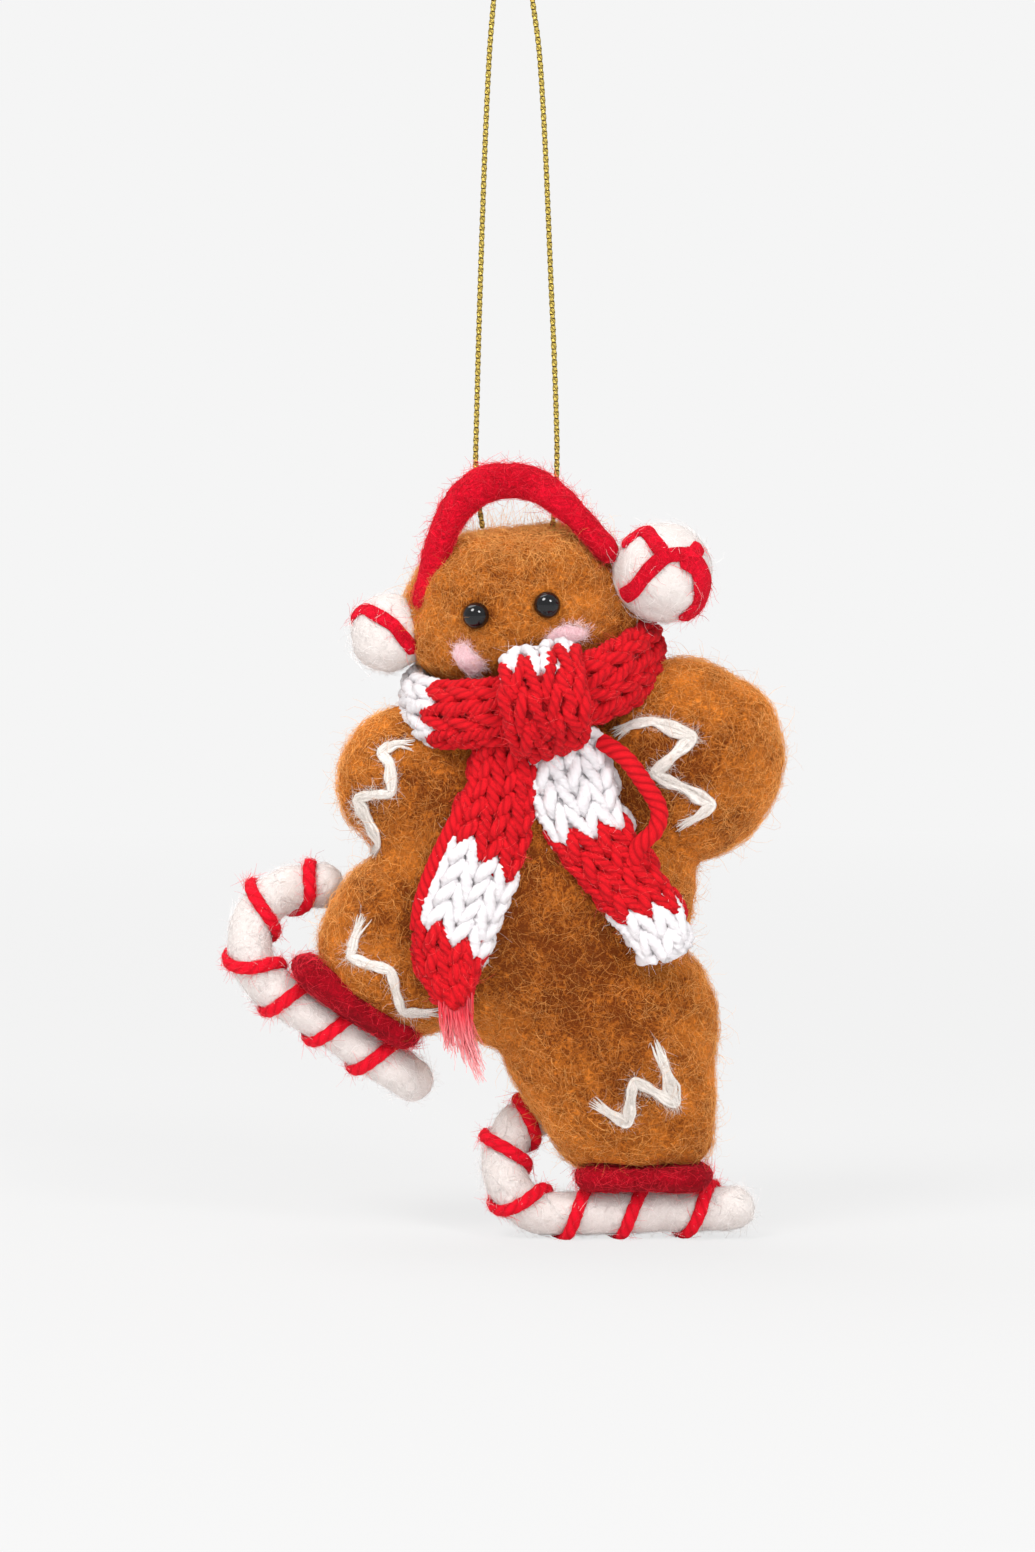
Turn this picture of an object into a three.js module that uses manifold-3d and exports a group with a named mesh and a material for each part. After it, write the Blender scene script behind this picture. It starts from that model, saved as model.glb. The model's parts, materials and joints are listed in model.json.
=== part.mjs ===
// A felted gingerbread man that hangs from a loop of cord and skates on two candy canes.
// Millimetres. X points to the right of someone who faces the man, -Y points to them and Z is up.
// The origin is the inside of the cord's top bend, where the ornament hangs.

import * as THREE from 'three';
import { mergeVertices } from 'three/addons/utils/BufferGeometryUtils.js';
import Module from 'manifold-3d';

const wasm = await Module();
wasm.setup();

// The whole man: the hanging point to his crown, crown to sole, and hand to hand.
const crownDrop = 88;
const bodyHeight = 98.2;
const bodyWidth = 68;
const bodyBack = 1.2;
const seatGap = 0.3;

// Stuffed forms: across in the front view, and front to back.
const headWidth = 37.4;
const headDepth = 23;
const torsoWidth = 48.5;
const torsoDepth = 23;
const armLeftWidth = 24;
const armLeftDepth = 16.5;
const armRightWidth = 30.5;
const armRightDepth = 17.5;
const legRaisedWidth = 28.5;
const legRaisedDepth = 19;
const legStandingWidth = 33;
const legStandingDepth = 20;

// Bead eyes, cheeks and icing.
const eyeDiameter = 4.1;
const eyeProud = 2.6;
const cheekWidth = 4.6;
const cheekHeight = 4.2;
const cheekThickness = 2;
const icingWidth = 2.1;
const icingThickness = 2.2;

// Knitted scarf.
const collarWidth = 38.5;
const collarDepth = 27.5;
const collarHeight = 11.5;
const collarThickness = 4.2;
const collarSag = 3.4;
const collarRise = 8.6;
const knotWidth = 14.2;
const knotHeight = 15.6;
const knotThickness = 5;
const tailThickness = 3;
const tailLeftWidth = 13.5;
const tailRightWidth = 13.4;
const tailCurl = 0.9;
const tailLean = 0.7;
const tailSink = 0.7;
const floatDiameter = 2.2;
const fringeDiameter = 3.4;
const fringeLength = 11;

// Headband and earmuffs.
const bandDiameter = 5.4;
const bandForward = 4.3;
const bandTurn = 8;
const wireDiameter = 1.1;
const wireInBall = 2.6;
const ballLeftDiameter = 12;
const ballRightDiameter = 15.3;
const ballLeftBack = 1.5;
const ballRightBack = -5;
const stripeThickness = 0.9;
const stripeWidth = 1.9;
const wideStripeWidth = 3.6;

// Candy cane skates, and the boots between them and the feet.
const caneDiameter = 6.7;
const yarnWidth = 1.9;
const yarnThickness = 0.9;
const toeReach = 17.4;
const heelRaised = 11.7;
const heelStanding = 13.7;
const hookRadiusRaised = 8.4;
const hookRadiusStanding = 7.7;
const hookRunRaised = 6;
const hookRunStanding = 1.2;
const hookLeanRaised = 6.5;
const hookLeanStanding = 7;
const bootThickness = 4;
const bootWebRaised = 0.5;
const bootWebStanding = 2.6;
const bootDepth = 14.5;
const bootRaisedLength = 21.5;
const bootStandingLength = 20;

// Cord: the loop's two strands enter the crown, each with a knot under it.
const cordDiameter = 0.9;
const cordKnotDiameter = 2.3;
const cordKnotDrop = 1.9;
const cordChannelDiameter = 3;

// Angles in degrees: the way each skate points from toe to hook, and how far each hook turns.
const treadRaisedDegrees = 146.4;
const treadStandingDegrees = 181.7;
const hookTurnRaisedDegrees = 148;
const hookTurnStandingDegrees = 182;

// Counts of facets.
const formSides = 20;
const formRings = 12;
const tubeSides = 12;
const thinSides = 8;
const domeRings = 3;
const yarnSides = 6;
const yarnSteps = 24;

// Shares of a turn of yarn left off before the first spot of its row and after the last.
const yarnStartShare = 0.7;
const yarnEndShare = 0.85;

// Surfaces.
const felt = { color: 0xb0702a, roughness: 0.95 };
const redWool = { color: 0xc8102a, roughness: 0.9 };
const scarfRed = { color: 0xe0242c, roughness: 0.85 };
const whiteWool = { color: 0xf0e8e4, roughness: 0.95 };
const pinkWool = { color: 0xd9a5ae, roughness: 0.95 };
const icingWool = { color: 0xe4dfd6, roughness: 0.95 };
const blackGloss = { color: 0x050505, roughness: 0.08 };
const goldCord = { color: 0xb09434, roughness: 0.45, metalness: 0.6 };
const steelWire = { color: 0x9a9a9e, roughness: 0.35, metalness: 1 };

const front = new THREE.Vector3(0, -1, 0);
const up = new THREE.Vector3(0, 0, 1);
const ornament = new THREE.Group();
const man = new THREE.Group();
man.position.z = -crownDrop;
ornament.add(man);

function addPiece(name, geometry, look, group = man) {
  const piece = new THREE.Mesh(geometry, new THREE.MeshStandardMaterial(look));
  piece.name = name;
  group.add(piece);
}

// A spot on the man, from shares of his width from the middle and of his height below the crown.
function spot([acrossShare, downShare], y = bodyBack) {
  return new THREE.Vector3(acrossShare * bodyWidth, y, -downShare * bodyHeight);
}

// Skin over rings of points. Two tips close an open row of rings, and a row without tips joins its own start.
function skin(rings, tips) {
  const sides = rings[0].length;
  const points = [...rings.flat(), ...(tips ?? [])];
  const faces = [];
  const spans = tips ? rings.length - 1 : rings.length;
  for (let r = 0; r < spans; r += 1) {
    const here = r * sides;
    const next = ((r + 1) % rings.length) * sides;
    for (let k = 0; k < sides; k += 1) {
      const beside = (k + 1) % sides;
      faces.push(here + k, here + beside, next + beside, here + k, next + beside, next + k);
    }
  }
  if (tips) {
    const firstTip = rings.length * sides;
    const lastRing = firstTip - sides;
    for (let k = 0; k < sides; k += 1) {
      const beside = (k + 1) % sides;
      faces.push(firstTip, beside, k, firstTip + 1, lastRing + k, lastRing + beside);
    }
  }
  const geometry = new THREE.BufferGeometry().setFromPoints(points);
  geometry.setIndex(volumeIn(points, faces) < 0 ? faces.reverse() : faces);
  return geometry;
}

function volumeIn(points, faces) {
  let sum = 0;
  for (let f = 0; f < faces.length; f += 3) {
    const [a, b, c] = [points[faces[f]], points[faces[f + 1]], points[faces[f + 2]]];
    sum += a.dot(new THREE.Vector3().crossVectors(b, c));
  }
  return sum;
}

// The place on a curve, with the direction across it and the one that faces outwards.
function frameOn(curve, share, facing = () => front) {
  const at = curve.getPointAt(share);
  const along = curve.getTangentAt(share);
  const side = new THREE.Vector3().crossVectors(along, facing(at)).normalize();
  const deep = new THREE.Vector3().crossVectors(side, along).normalize();
  return { at, side, deep };
}

// A ring round a place. A curl lays its two edges back.
function ringOn({ at, side, deep }, halfSide, halfDeep, sides, curl = 0) {
  return Array.from({ length: sides }, (_, k) => {
    const turn = 2 * Math.PI * k / sides;
    const out = halfDeep * Math.sin(turn) - curl * Math.cos(turn) ** 2;
    return at.clone().addScaledVector(side, halfSide * Math.cos(turn)).addScaledVector(deep, out);
  });
}

// A smooth value from a row of evenly spaced ones.
function valueAt(row, share) {
  const line = new THREE.SplineCurve(row.map((value, k) => new THREE.Vector2(k, value)));
  return line.getPoint(share).y;
}

function curveThrough(points) {
  return new THREE.CatmullRomCurve3(points, false, 'centripetal');
}

// A stuffed felt form round a spine of spots. It swells by the row of shares from its start to its end.
// An end with a power of 2 is round, and a higher power is blunter.
function stuffed(spineShares, width, depth, swellShares, [startPower, endPower]) {
  const spine = curveThrough(spineShares.map((shares) => spot(shares)));
  const rings = [];
  for (let k = 1; k < formRings; k += 1) {
    const reach = Math.cos(Math.PI * k / formRings);
    const power = reach > 0 ? startPower : endPower;
    const round = (1 - Math.abs(reach) ** power) ** (1 / power);
    const share = (1 - reach) / 2;
    const swell = round * valueAt(swellShares, share) / 2;
    rings.push(ringOn(frameOn(spine, share), width * swell, depth * swell, formSides));
  }
  return skin(rings, [spine.getPointAt(0), spine.getPointAt(1)]);
}

// A round or flat rod along a curve, with domed ends.
function rod(curve, width, depth, steps, sides, { facing, curl = 0, swellShares = [1, 1] } = {}) {
  const dome = Math.min(width, depth) / 2 / curve.getLength();
  const rings = [];
  const addRing = (share, size) => {
    const swell = size * valueAt(swellShares, share);
    const frame = frameOn(curve, share, facing);
    rings.push(ringOn(frame, width * swell / 2, depth * size / 2, sides, curl * swell ** 2));
  };
  for (let k = 1; k < domeRings; k += 1) {
    const turn = Math.PI * k / domeRings / 2;
    addRing(dome * (1 - Math.cos(turn)), Math.sin(turn));
  }
  for (let k = 0; k <= steps; k += 1) {
    addRing(dome + (1 - 2 * dome) * k / steps, 1);
  }
  for (let k = domeRings - 1; k > 0; k -= 1) {
    const turn = Math.PI * k / domeRings / 2;
    addRing(1 - dome * (1 - Math.cos(turn)), Math.sin(turn));
  }
  return skin(rings, [curve.getPointAt(0), curve.getPointAt(1)]);
}

function ball(diameter, centre, columns = 16, rows = 10) {
  const round = new THREE.SphereGeometry(diameter / 2, columns, rows);
  return round.translate(centre.x, centre.y, centre.z);
}

// Closed solids, for joins and cuts.
function bareSkin(geometry) {
  const bare = geometry.clone();
  bare.deleteAttribute('normal');
  bare.deleteAttribute('uv');
  return mergeVertices(bare);
}

function solid(geometry) {
  const { index, attributes } = bareSkin(geometry);
  const triVerts = new Uint32Array(index.array);
  const vertProperties = new Float32Array(attributes.position.array);
  return new wasm.Manifold(new wasm.Mesh({ numProp: 3, vertProperties, triVerts }));
}

function geometryOf(body) {
  const { vertProperties, triVerts } = body.getMesh();
  const geometry = new THREE.BufferGeometry();
  geometry.setAttribute('position', new THREE.BufferAttribute(vertProperties, 3));
  geometry.setIndex(new THREE.BufferAttribute(triVerts, 1));
  return geometry;
}

function cut(geometry, ...tools) {
  return geometryOf(tools.reduce((left, tool) => left.subtract(tool), solid(geometry)));
}

// The room that a form takes up, with the seat's gap round it.
function roomOf(geometry) {
  const bare = bareSkin(geometry);
  bare.computeVertexNormals();
  const { position, normal } = bare.attributes;
  for (let k = 0; k < position.count; k += 1) {
    const point = new THREE.Vector3().fromBufferAttribute(position, k);
    point.addScaledVector(new THREE.Vector3().fromBufferAttribute(normal, k), seatGap);
    position.setXYZ(k, point.x, point.y, point.z);
  }
  return solid(bare);
}

// A point moved to the front of the forms there, or left alone where they don't reach.
const sight = new THREE.Raycaster();
const bothSides = new THREE.MeshBasicMaterial({ side: THREE.DoubleSide });
function onFront(point, ...forms) {
  sight.set(point.clone().setY(-bodyHeight), front.clone().negate());
  const hits = sight.intersectObjects(forms.map((form) => new THREE.Mesh(form, bothSides)));
  return point.clone().setY(hits.length ? hits[0].point.y : point.y);
}

// Felt man.
const roundEnds = [2.3, 2.5];
const bluntFoot = [2.2, 5];
const headSpineShares = [[0.01, -0.002], [0.022, 0.13], [0.048, 0.268]];
const headSwellShares = [0.83, 0.93, 0.99, 1.01, 0.9];
const torsoSpineShares = [[0.02, 0.22], [0.048, 0.53], [0.088, 0.835]];
const torsoSwellShares = [0.62, 0.9, 1, 0.98, 0.9];
const armLeftSpineShares = [[0.02, 0.395], [-0.2, 0.408], [-0.394, 0.425]];
const armLeftSwellShares = [1, 1, 1, 0.97, 0.86];
const armRightSpineShares = [[0.12, 0.44], [0.37, 0.378], [0.594, 0.325]];
const armRightSwellShares = [0.9, 1, 1.02, 0.98, 0.8];
const legRaisedSpineShares = [[0.03, 0.555], [-0.18, 0.637], [-0.364, 0.758]];
const legRaisedSwellShares = [0.95, 1, 1, 0.92, 0.76];
const legStandingSpineShares = [[0.16, 0.66], [0.236, 0.84], [0.288, 1.011]];
const legStandingSwellShares = [0.98, 1.04, 1, 0.86, 0.73];

const torso = stuffed(torsoSpineShares, torsoWidth, torsoDepth, torsoSwellShares, roundEnds);
const head = stuffed(headSpineShares, headWidth, headDepth, headSwellShares, roundEnds);
const armLeft = stuffed(armLeftSpineShares, armLeftWidth, armLeftDepth, armLeftSwellShares, roundEnds);
const armRight = stuffed(armRightSpineShares, armRightWidth, armRightDepth, armRightSwellShares, roundEnds);
const legRaised = stuffed(
  legRaisedSpineShares, legRaisedWidth, legRaisedDepth, legRaisedSwellShares, bluntFoot,
);
const legStanding = stuffed(
  legStandingSpineShares, legStandingWidth, legStandingDepth, legStandingSwellShares, bluntFoot,
);
const torsoRoom = roomOf(torso);
const headRoom = roomOf(head);
const armLeftRoom = roomOf(armLeft);
const armRightRoom = roomOf(armRight);
const legRaisedRoom = roomOf(legRaised);
const legStandingRoom = roomOf(legStanding);

// Bead eyes, each in its own socket.
const eyeShares = [[-0.088, 0.144], [0.072, 0.127]];
const eyes = eyeShares.map((shares) => onFront(spot(shares), head)).map(
  (face) => face.addScaledVector(front, eyeProud - eyeDiameter / 2),
);
addPiece('eye_left', ball(eyeDiameter, eyes[0]), blackGloss);
addPiece('eye_right', ball(eyeDiameter, eyes[1]), blackGloss);
const sockets = eyes.map((centre) => solid(ball(eyeDiameter + 2 * seatGap, centre)));

// Route of the cord, across and down from the hanging point, as shares of the drop to the crown: in at the
// crown on one side, round the hanging point and in again on the other. It is parted above the headband,
// where the strands turn.
const cordLegLeftShares = [[-0.0675, 0.8295], [-0.0687, 0.892], [-0.0659, 0.9489], [-0.0568, 1.0119]];
const cordRiseShares = [
  [-0.0674, 0.8261], [-0.0642, 0.7045], [-0.0608, 0.5909],
  [-0.0563, 0.4545], [-0.0511, 0.3182], [-0.0443, 0.1818],
];
const cordBendShares = [
  [-0.0364, 0.0852], [-0.033, 0.0386], [-0.0239, 0.008], [0, -0.0051],
  [0.0216, 0.008], [0.029, 0.0386], [0.0295, 0.0852],
];
const cordFallShares = [
  [0.042, 0.1818], [0.0511, 0.3182], [0.0574, 0.4545],
  [0.0631, 0.5909], [0.0682, 0.7045], [0.0724, 0.8261],
];
const cordLegRightShares = [[0.0725, 0.8295], [0.0733, 0.892], [0.0716, 0.9489], [0.0659, 1.0028]];
function onCord([acrossShare, downShare]) {
  return new THREE.Vector3(acrossShare * crownDrop, 0, -downShare * crownDrop);
}
const cordSection = new THREE.Shape(Array.from({ length: thinSides }, (_, k) => {
  const turn = 2 * Math.PI * k / thinSides;
  return new THREE.Vector2(Math.cos(turn), Math.sin(turn)).multiplyScalar(cordDiameter / 2);
}));
function addCord(name, routeShares, steps) {
  const extrudePath = curveThrough(routeShares.map(onCord));
  const cord = new THREE.ExtrudeGeometry(cordSection, { steps, extrudePath, bevelEnabled: false });
  addPiece(name, cord, goldCord, ornament);
}
addCord('loop_cord', [...cordRiseShares, ...cordBendShares, ...cordFallShares], 36);
addCord('loop_leg_left', cordLegLeftShares, 5);
addCord('loop_leg_right', cordLegRightShares, 5);

// Each strand ends in the crown, over a knot in a channel through the felt.
const entries = [cordLegLeftShares, cordLegRightShares].map(
  (routeShares) => onCord(routeShares.at(-1)).addScaledVector(up, crownDrop),
);
const channels = entries.map((entry) => {
  const top = entry.clone().addScaledVector(up, cordChannelDiameter / 2);
  const foot = entry.clone().addScaledVector(up, -cordKnotDrop - cordChannelDiameter / 2);
  return solid(rod(new THREE.LineCurve3(top, foot), cordChannelDiameter, cordChannelDiameter, 1, thinSides));
});
const [knotUnderLeft, knotUnderRight] = entries.map((entry) => entry.addScaledVector(up, -cordKnotDrop));
addPiece('cord_knot_left', ball(cordKnotDiameter, knotUnderLeft, 8, 6), goldCord);
addPiece('cord_knot_right', ball(cordKnotDiameter, knotUnderRight, 8, 6), goldCord);

addPiece('torso', torso, felt);
addPiece('arm_left', cut(armLeft, torsoRoom, headRoom), felt);
addPiece('arm_right', cut(armRight, torsoRoom, headRoom), felt);

// Cheeks, pads of wool laid on the face.
function addCheek(name, shares) {
  const centre = onFront(spot(shares), head);
  const pad = new THREE.SphereGeometry(1, 12, 8).scale(cheekWidth / 2, cheekThickness / 2, cheekHeight / 2);
  addPiece(name, cut(pad.translate(centre.x, centre.y, centre.z), headRoom), pinkWool);
}
const cheekLeftShares = [-0.108, 0.2];
const cheekRightShares = [0.124, 0.168];
addCheek('cheek_left', cheekLeftShares);
addCheek('cheek_right', cheekRightShares);

// Icing, strands of wool laid on the limbs in a zigzag. Each leg of it bends over the limb in a few steps.
const icingSteps = 4;
function addIcing(name, cornerShares, forms, rooms) {
  const corners = cornerShares.map((shares) => spot(shares));
  const strands = corners.slice(1).map((corner, k) => {
    const laid = Array.from({ length: icingSteps + 1 }, (_, step) => {
      return onFront(corners[k].clone().lerp(corner, step / icingSteps), ...forms);
    });
    return rod(curveThrough(laid), icingWidth, icingThickness, icingSteps, yarnSides);
  });
  const zigzag = strands.map((strand) => solid(strand)).reduce((left, strand) => left.add(strand));
  addPiece(name, cut(geometryOf(zigzag), ...rooms), icingWool);
}
const icingArmLeftShares = [
  [-0.23, 0.352], [-0.3, 0.368], [-0.28, 0.42], [-0.348, 0.432], [-0.308, 0.49],
];
const icingArmRightShares = [
  [0.235, 0.331], [0.31, 0.31], [0.407, 0.334], [0.308, 0.392], [0.45, 0.44], [0.365, 0.478],
];
const icingLegRaisedShares = [
  [-0.333, 0.622], [-0.366, 0.68], [-0.281, 0.696], [-0.256, 0.768], [-0.175, 0.771],
];
const icingLegStandingShares = [
  [0.175, 0.906], [0.256, 0.945], [0.265, 0.868], [0.362, 0.912], [0.317, 0.812],
];
addIcing('icing_arm_left', icingArmLeftShares, [armLeft, torso], [armLeftRoom, torsoRoom]);
addIcing('icing_arm_right', icingArmRightShares, [armRight, torso], [armRightRoom, torsoRoom]);
addIcing('icing_leg_raised', icingLegRaisedShares, [legRaised, torso], [legRaisedRoom, torsoRoom]);
addIcing('icing_leg_standing', icingLegStandingShares, [legStanding, torso], [legStandingRoom, torsoRoom]);

// Scarf: a collar round the neck, higher to the right and lower at the front, with a knot over it.
const collarShares = [0.036, 0.247];
const collarSteps = 28;
const collarCentre = spot(collarShares);
const collarCurve = new THREE.CatmullRomCurve3(Array.from({ length: collarSteps }, (_, k) => {
  const turn = 2 * Math.PI * k / collarSteps;
  const [across, back] = [Math.cos(turn), Math.sin(turn)];
  const lift = collarRise * across / 2 + collarSag * back;
  const offset = new THREE.Vector3(collarWidth * across / 2, collarDepth * back / 2, lift);
  return offset.add(collarCentre);
}), true);
const collar = skin(Array.from({ length: collarSteps }, (_, k) => {
  const frame = frameOn(collarCurve, k / collarSteps, () => up);
  return ringOn(frame, collarThickness / 2, collarHeight / 2, tubeSides);
}));

const knotShares = [0.066, 0.283];
const collarFace = bodyBack - (collarDepth + collarThickness) / 2;
const knotMiddle = spot(knotShares, collarFace - seatGap - knotThickness / 2);
const knotHang = new THREE.Vector3(0, knotThickness / 2, -knotHeight / 2);
const knotCurve = curveThrough([
  knotMiddle.clone().add(knotHang.clone().setZ(knotHeight / 2)),
  knotMiddle,
  knotMiddle.clone().add(knotHang),
]);
const knotSwellShares = [0.8, 1, 1.02, 1, 0.9];
const knot = rod(knotCurve, knotWidth, knotThickness, 6, tubeSides, { swellShares: knotSwellShares });
const collarRoom = roomOf(collar);
addPiece('scarf_knot', cut(knot, collarRoom, torsoRoom, headRoom), scarfRed);

// Tails: flat, with their edges curled back. Each lies on the belly at its fold and leans out from it below.
const tailBack = bodyBack - (torsoDepth + tailThickness) / 2 + tailSink;
const tailLeftShares = [[-0.026, 0.372], [-0.046, 0.45], [-0.095, 0.545], [-0.144, 0.652], [-0.137, 0.752]];
const tailRightShares = [[0.12, 0.372], [0.15, 0.444], [0.204, 0.514], [0.272, 0.586], [0.346, 0.672]];
const tailLeftSwellShares = [0.74, 0.98, 1.02, 1, 0.46];
const tailRightSwellShares = [0.86, 0.98, 1, 0.94, 0.72];
function tail(spineShares, width, swellShares) {
  const lean = tailLean / (spineShares.length - 1);
  const curve = curveThrough(spineShares.map((shares, k) => spot(shares, tailBack - lean * k)));
  return rod(curve, width, tailThickness, 12, tubeSides, { curl: tailCurl, swellShares });
}
const tailLeft = tail(tailLeftShares, tailLeftWidth, tailLeftSwellShares);
const tailRight = tail(tailRightShares, tailRightWidth, tailRightSwellShares);
addPiece('scarf_tail_left', cut(tailLeft, torsoRoom), scarfRed);
addPiece('scarf_tail_right', cut(tailRight, torsoRoom, armRightRoom), scarfRed);

// Loose strands carried past the white stripes, and the yarn end at the foot of one tail.
function addFloat(name, spineShares, proud, besideTail) {
  const curve = curveThrough(spineShares.map((shares) => spot(shares, tailBack - proud)));
  addPiece(name, cut(rod(curve, floatDiameter, floatDiameter, 8, thinSides), besideTail), scarfRed);
}
const floatLeftShares = [[-0.14, 0.466], [-0.19, 0.54], [-0.222, 0.61]];
const floatRightShares = [[0.2, 0.385], [0.262, 0.398], [0.308, 0.432], [0.32, 0.468], [0.282, 0.508]];
addFloat('scarf_float_left', floatLeftShares, tailThickness / 2, roomOf(tailLeft));
addFloat('scarf_float_right', floatRightShares, tailThickness / 2, roomOf(tailRight));
const fringeTop = spot(tailLeftShares.at(-1), tailBack - tailLean).addScaledVector(up, -seatGap);
const fringeCurve = curveThrough([
  fringeTop,
  fringeTop.clone().add(new THREE.Vector3(fringeLength / 12, 0, -fringeLength / 2)),
  fringeTop.clone().add(new THREE.Vector3(fringeLength / 5, 0, -fringeLength)),
]);
const fringeSwellShares = [1, 0.8, 0.35];
const fringeLook = { swellShares: fringeSwellShares };
const fringe = rod(fringeCurve, fringeDiameter, fringeDiameter / 2, 5, thinSides, fringeLook);
addPiece('scarf_fringe', fringe, scarfRed);

// Earmuffs: a wired headband from ball to ball, in front of the cord.
const ballLeftShares = [-0.286, 0.176];
const ballRightShares = [0.333, 0.079];
const ballLeft = spot(ballLeftShares, ballLeftBack);
const ballRight = spot(ballRightShares, ballRightBack);
const bandShares = [
  [-0.218, 0.135], [-0.199, 0.08], [-0.161, 0.01], [-0.114, -0.036], [-0.06, -0.06],
  [0, -0.064], [0.066, -0.05], [0.13, -0.015], [0.182, 0.024], [0.218, 0.055],
];
const bandSwellShares = [0.6, 0.76, 1.02, 1, 0.94];
const bandPoints = bandShares.map(([across, down]) => spot([across, down], -bandForward - bandTurn * across));
const intoBall = (end, centre) => centre.clone().sub(end).setLength(wireInBall).add(end);
const bandCurve = curveThrough(bandPoints);
const wireCurve = curveThrough([
  intoBall(bandPoints[0], ballLeft), ...bandPoints, intoBall(bandPoints.at(-1), ballRight),
]);
const boreDiameter = wireDiameter + 2 * seatGap;
const bore = solid(rod(wireCurve, boreDiameter, boreDiameter, 20, yarnSides));
const ballLeftForm = ball(ballLeftDiameter, ballLeft, 18, 12);
const ballRightForm = ball(ballRightDiameter, ballRight, 18, 12);
const ballRooms = [roomOf(ballLeftForm), roomOf(ballRightForm)];
addPiece('head', cut(head, torsoRoom, ...sockets, ...channels, bore), felt);
addPiece('earmuff_left', cut(ballLeftForm, headRoom, bore), whiteWool);
addPiece('earmuff_right', cut(ballRightForm, headRoom, bore), whiteWool);
addPiece('scarf_collar', cut(collar, torsoRoom, headRoom, armLeftRoom, armRightRoom, ...ballRooms), scarfRed);
addPiece('headband_wire', rod(wireCurve, wireDiameter, wireDiameter, 20, yarnSides), steelWire);
const band = rod(bandCurve, bandDiameter, bandDiameter, 18, tubeSides, { swellShares: bandSwellShares });
addPiece('headband', cut(band, bore, headRoom, ...ballRooms), redWool);

// Stripes laid on the balls. Each passes the spots given as shares of the ball's radius, in the front view.
function addStripe(name, centre, diameter, pathShares, width = stripeWidth) {
  const reach = diameter / 2 + seatGap + stripeThickness / 2;
  const path = curveThrough(pathShares.map(
    ([across, rise]) => new THREE.Vector3(across, -Math.sqrt(Math.max(0, 1 - across ** 2 - rise ** 2)), rise),
  ));
  const laid = path.getSpacedPoints(12).map((point) => point.setLength(reach).add(centre));
  const facing = (at) => at.clone().sub(centre);
  const stripe = rod(curveThrough(laid), width, stripeThickness, 8, yarnSides, { facing });
  addPiece(name, cut(stripe, headRoom), redWool);
}
const stripeUpperShares = [[-0.72, 0.6], [-0.38, 0.82], [-0.14, 0.56], [0, 0.5]];
const stripeCrossShares = [[-0.66, -0.5], [-0.31, 0.02], [0, 0.3], [0.3, 0.38], [0.56, 0.42], [0.68, 0.62]];
const stripeWideShares = [[0.56, 0.1], [0.74, -0.1], [0.78, -0.36], [0.66, -0.62], [0.38, -0.9]];
const stripeLeftShares = [
  [-0.87, 0.42], [-0.62, 0.58], [-0.28, 0.48], [0.1, 0.22], [0.37, -0.08], [0.6, -0.45],
];
addStripe('stripe_right_upper', ballRight, ballRightDiameter, stripeUpperShares);
addStripe('stripe_right_cross', ballRight, ballRightDiameter, stripeCrossShares);
addStripe('stripe_right_wide', ballRight, ballRightDiameter, stripeWideShares, wideStripeWidth);
addStripe('stripe_left', ballLeft, ballLeftDiameter, stripeLeftShares);

// A skate: a candy cane whose run lies under the boot and whose hook turns up behind the heel.
const radians = THREE.MathUtils.degToRad;
function skate(footShares, web, treadDegrees, heel, hookRadius, hookTurnDegrees, hookRun, hookLean) {
  const heelward = new THREE.Vector3(Math.cos(radians(treadDegrees)), 0, Math.sin(radians(treadDegrees)));
  const upward = new THREE.Vector3(heelward.z, 0, -heelward.x);
  const sole = spot(footShares);
  const boot = sole.clone().addScaledVector(upward, -web / 2);
  const underBoot = web + yarnThickness + 2 * seatGap + caneDiameter / 2;
  const middle = sole.clone().addScaledVector(upward, -underBoot);
  const along = (start, run, rise) => {
    return start.clone().addScaledVector(heelward, run).addScaledVector(upward, rise);
  };
  const hookStart = along(middle, heel, 0);
  const hookSteps = 7;
  const hook = Array.from({ length: hookSteps }, (_, k) => {
    const turn = radians(hookTurnDegrees) * (k + 1) / hookSteps;
    const point = along(hookStart, hookRadius * Math.sin(turn), hookRadius * (1 - Math.cos(turn)));
    return point.setY(bodyBack + hookLean * ((k + 1) / hookSteps) ** 2);
  });
  const ending = radians(hookTurnDegrees);
  const tip = along(hook.at(-1), hookRun * Math.cos(ending), hookRun * Math.sin(ending));
  const curve = curveThrough([along(middle, -toeReach, 0), middle, hookStart, ...hook, tip]);
  return { curve, boot, heelward };
}

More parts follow.
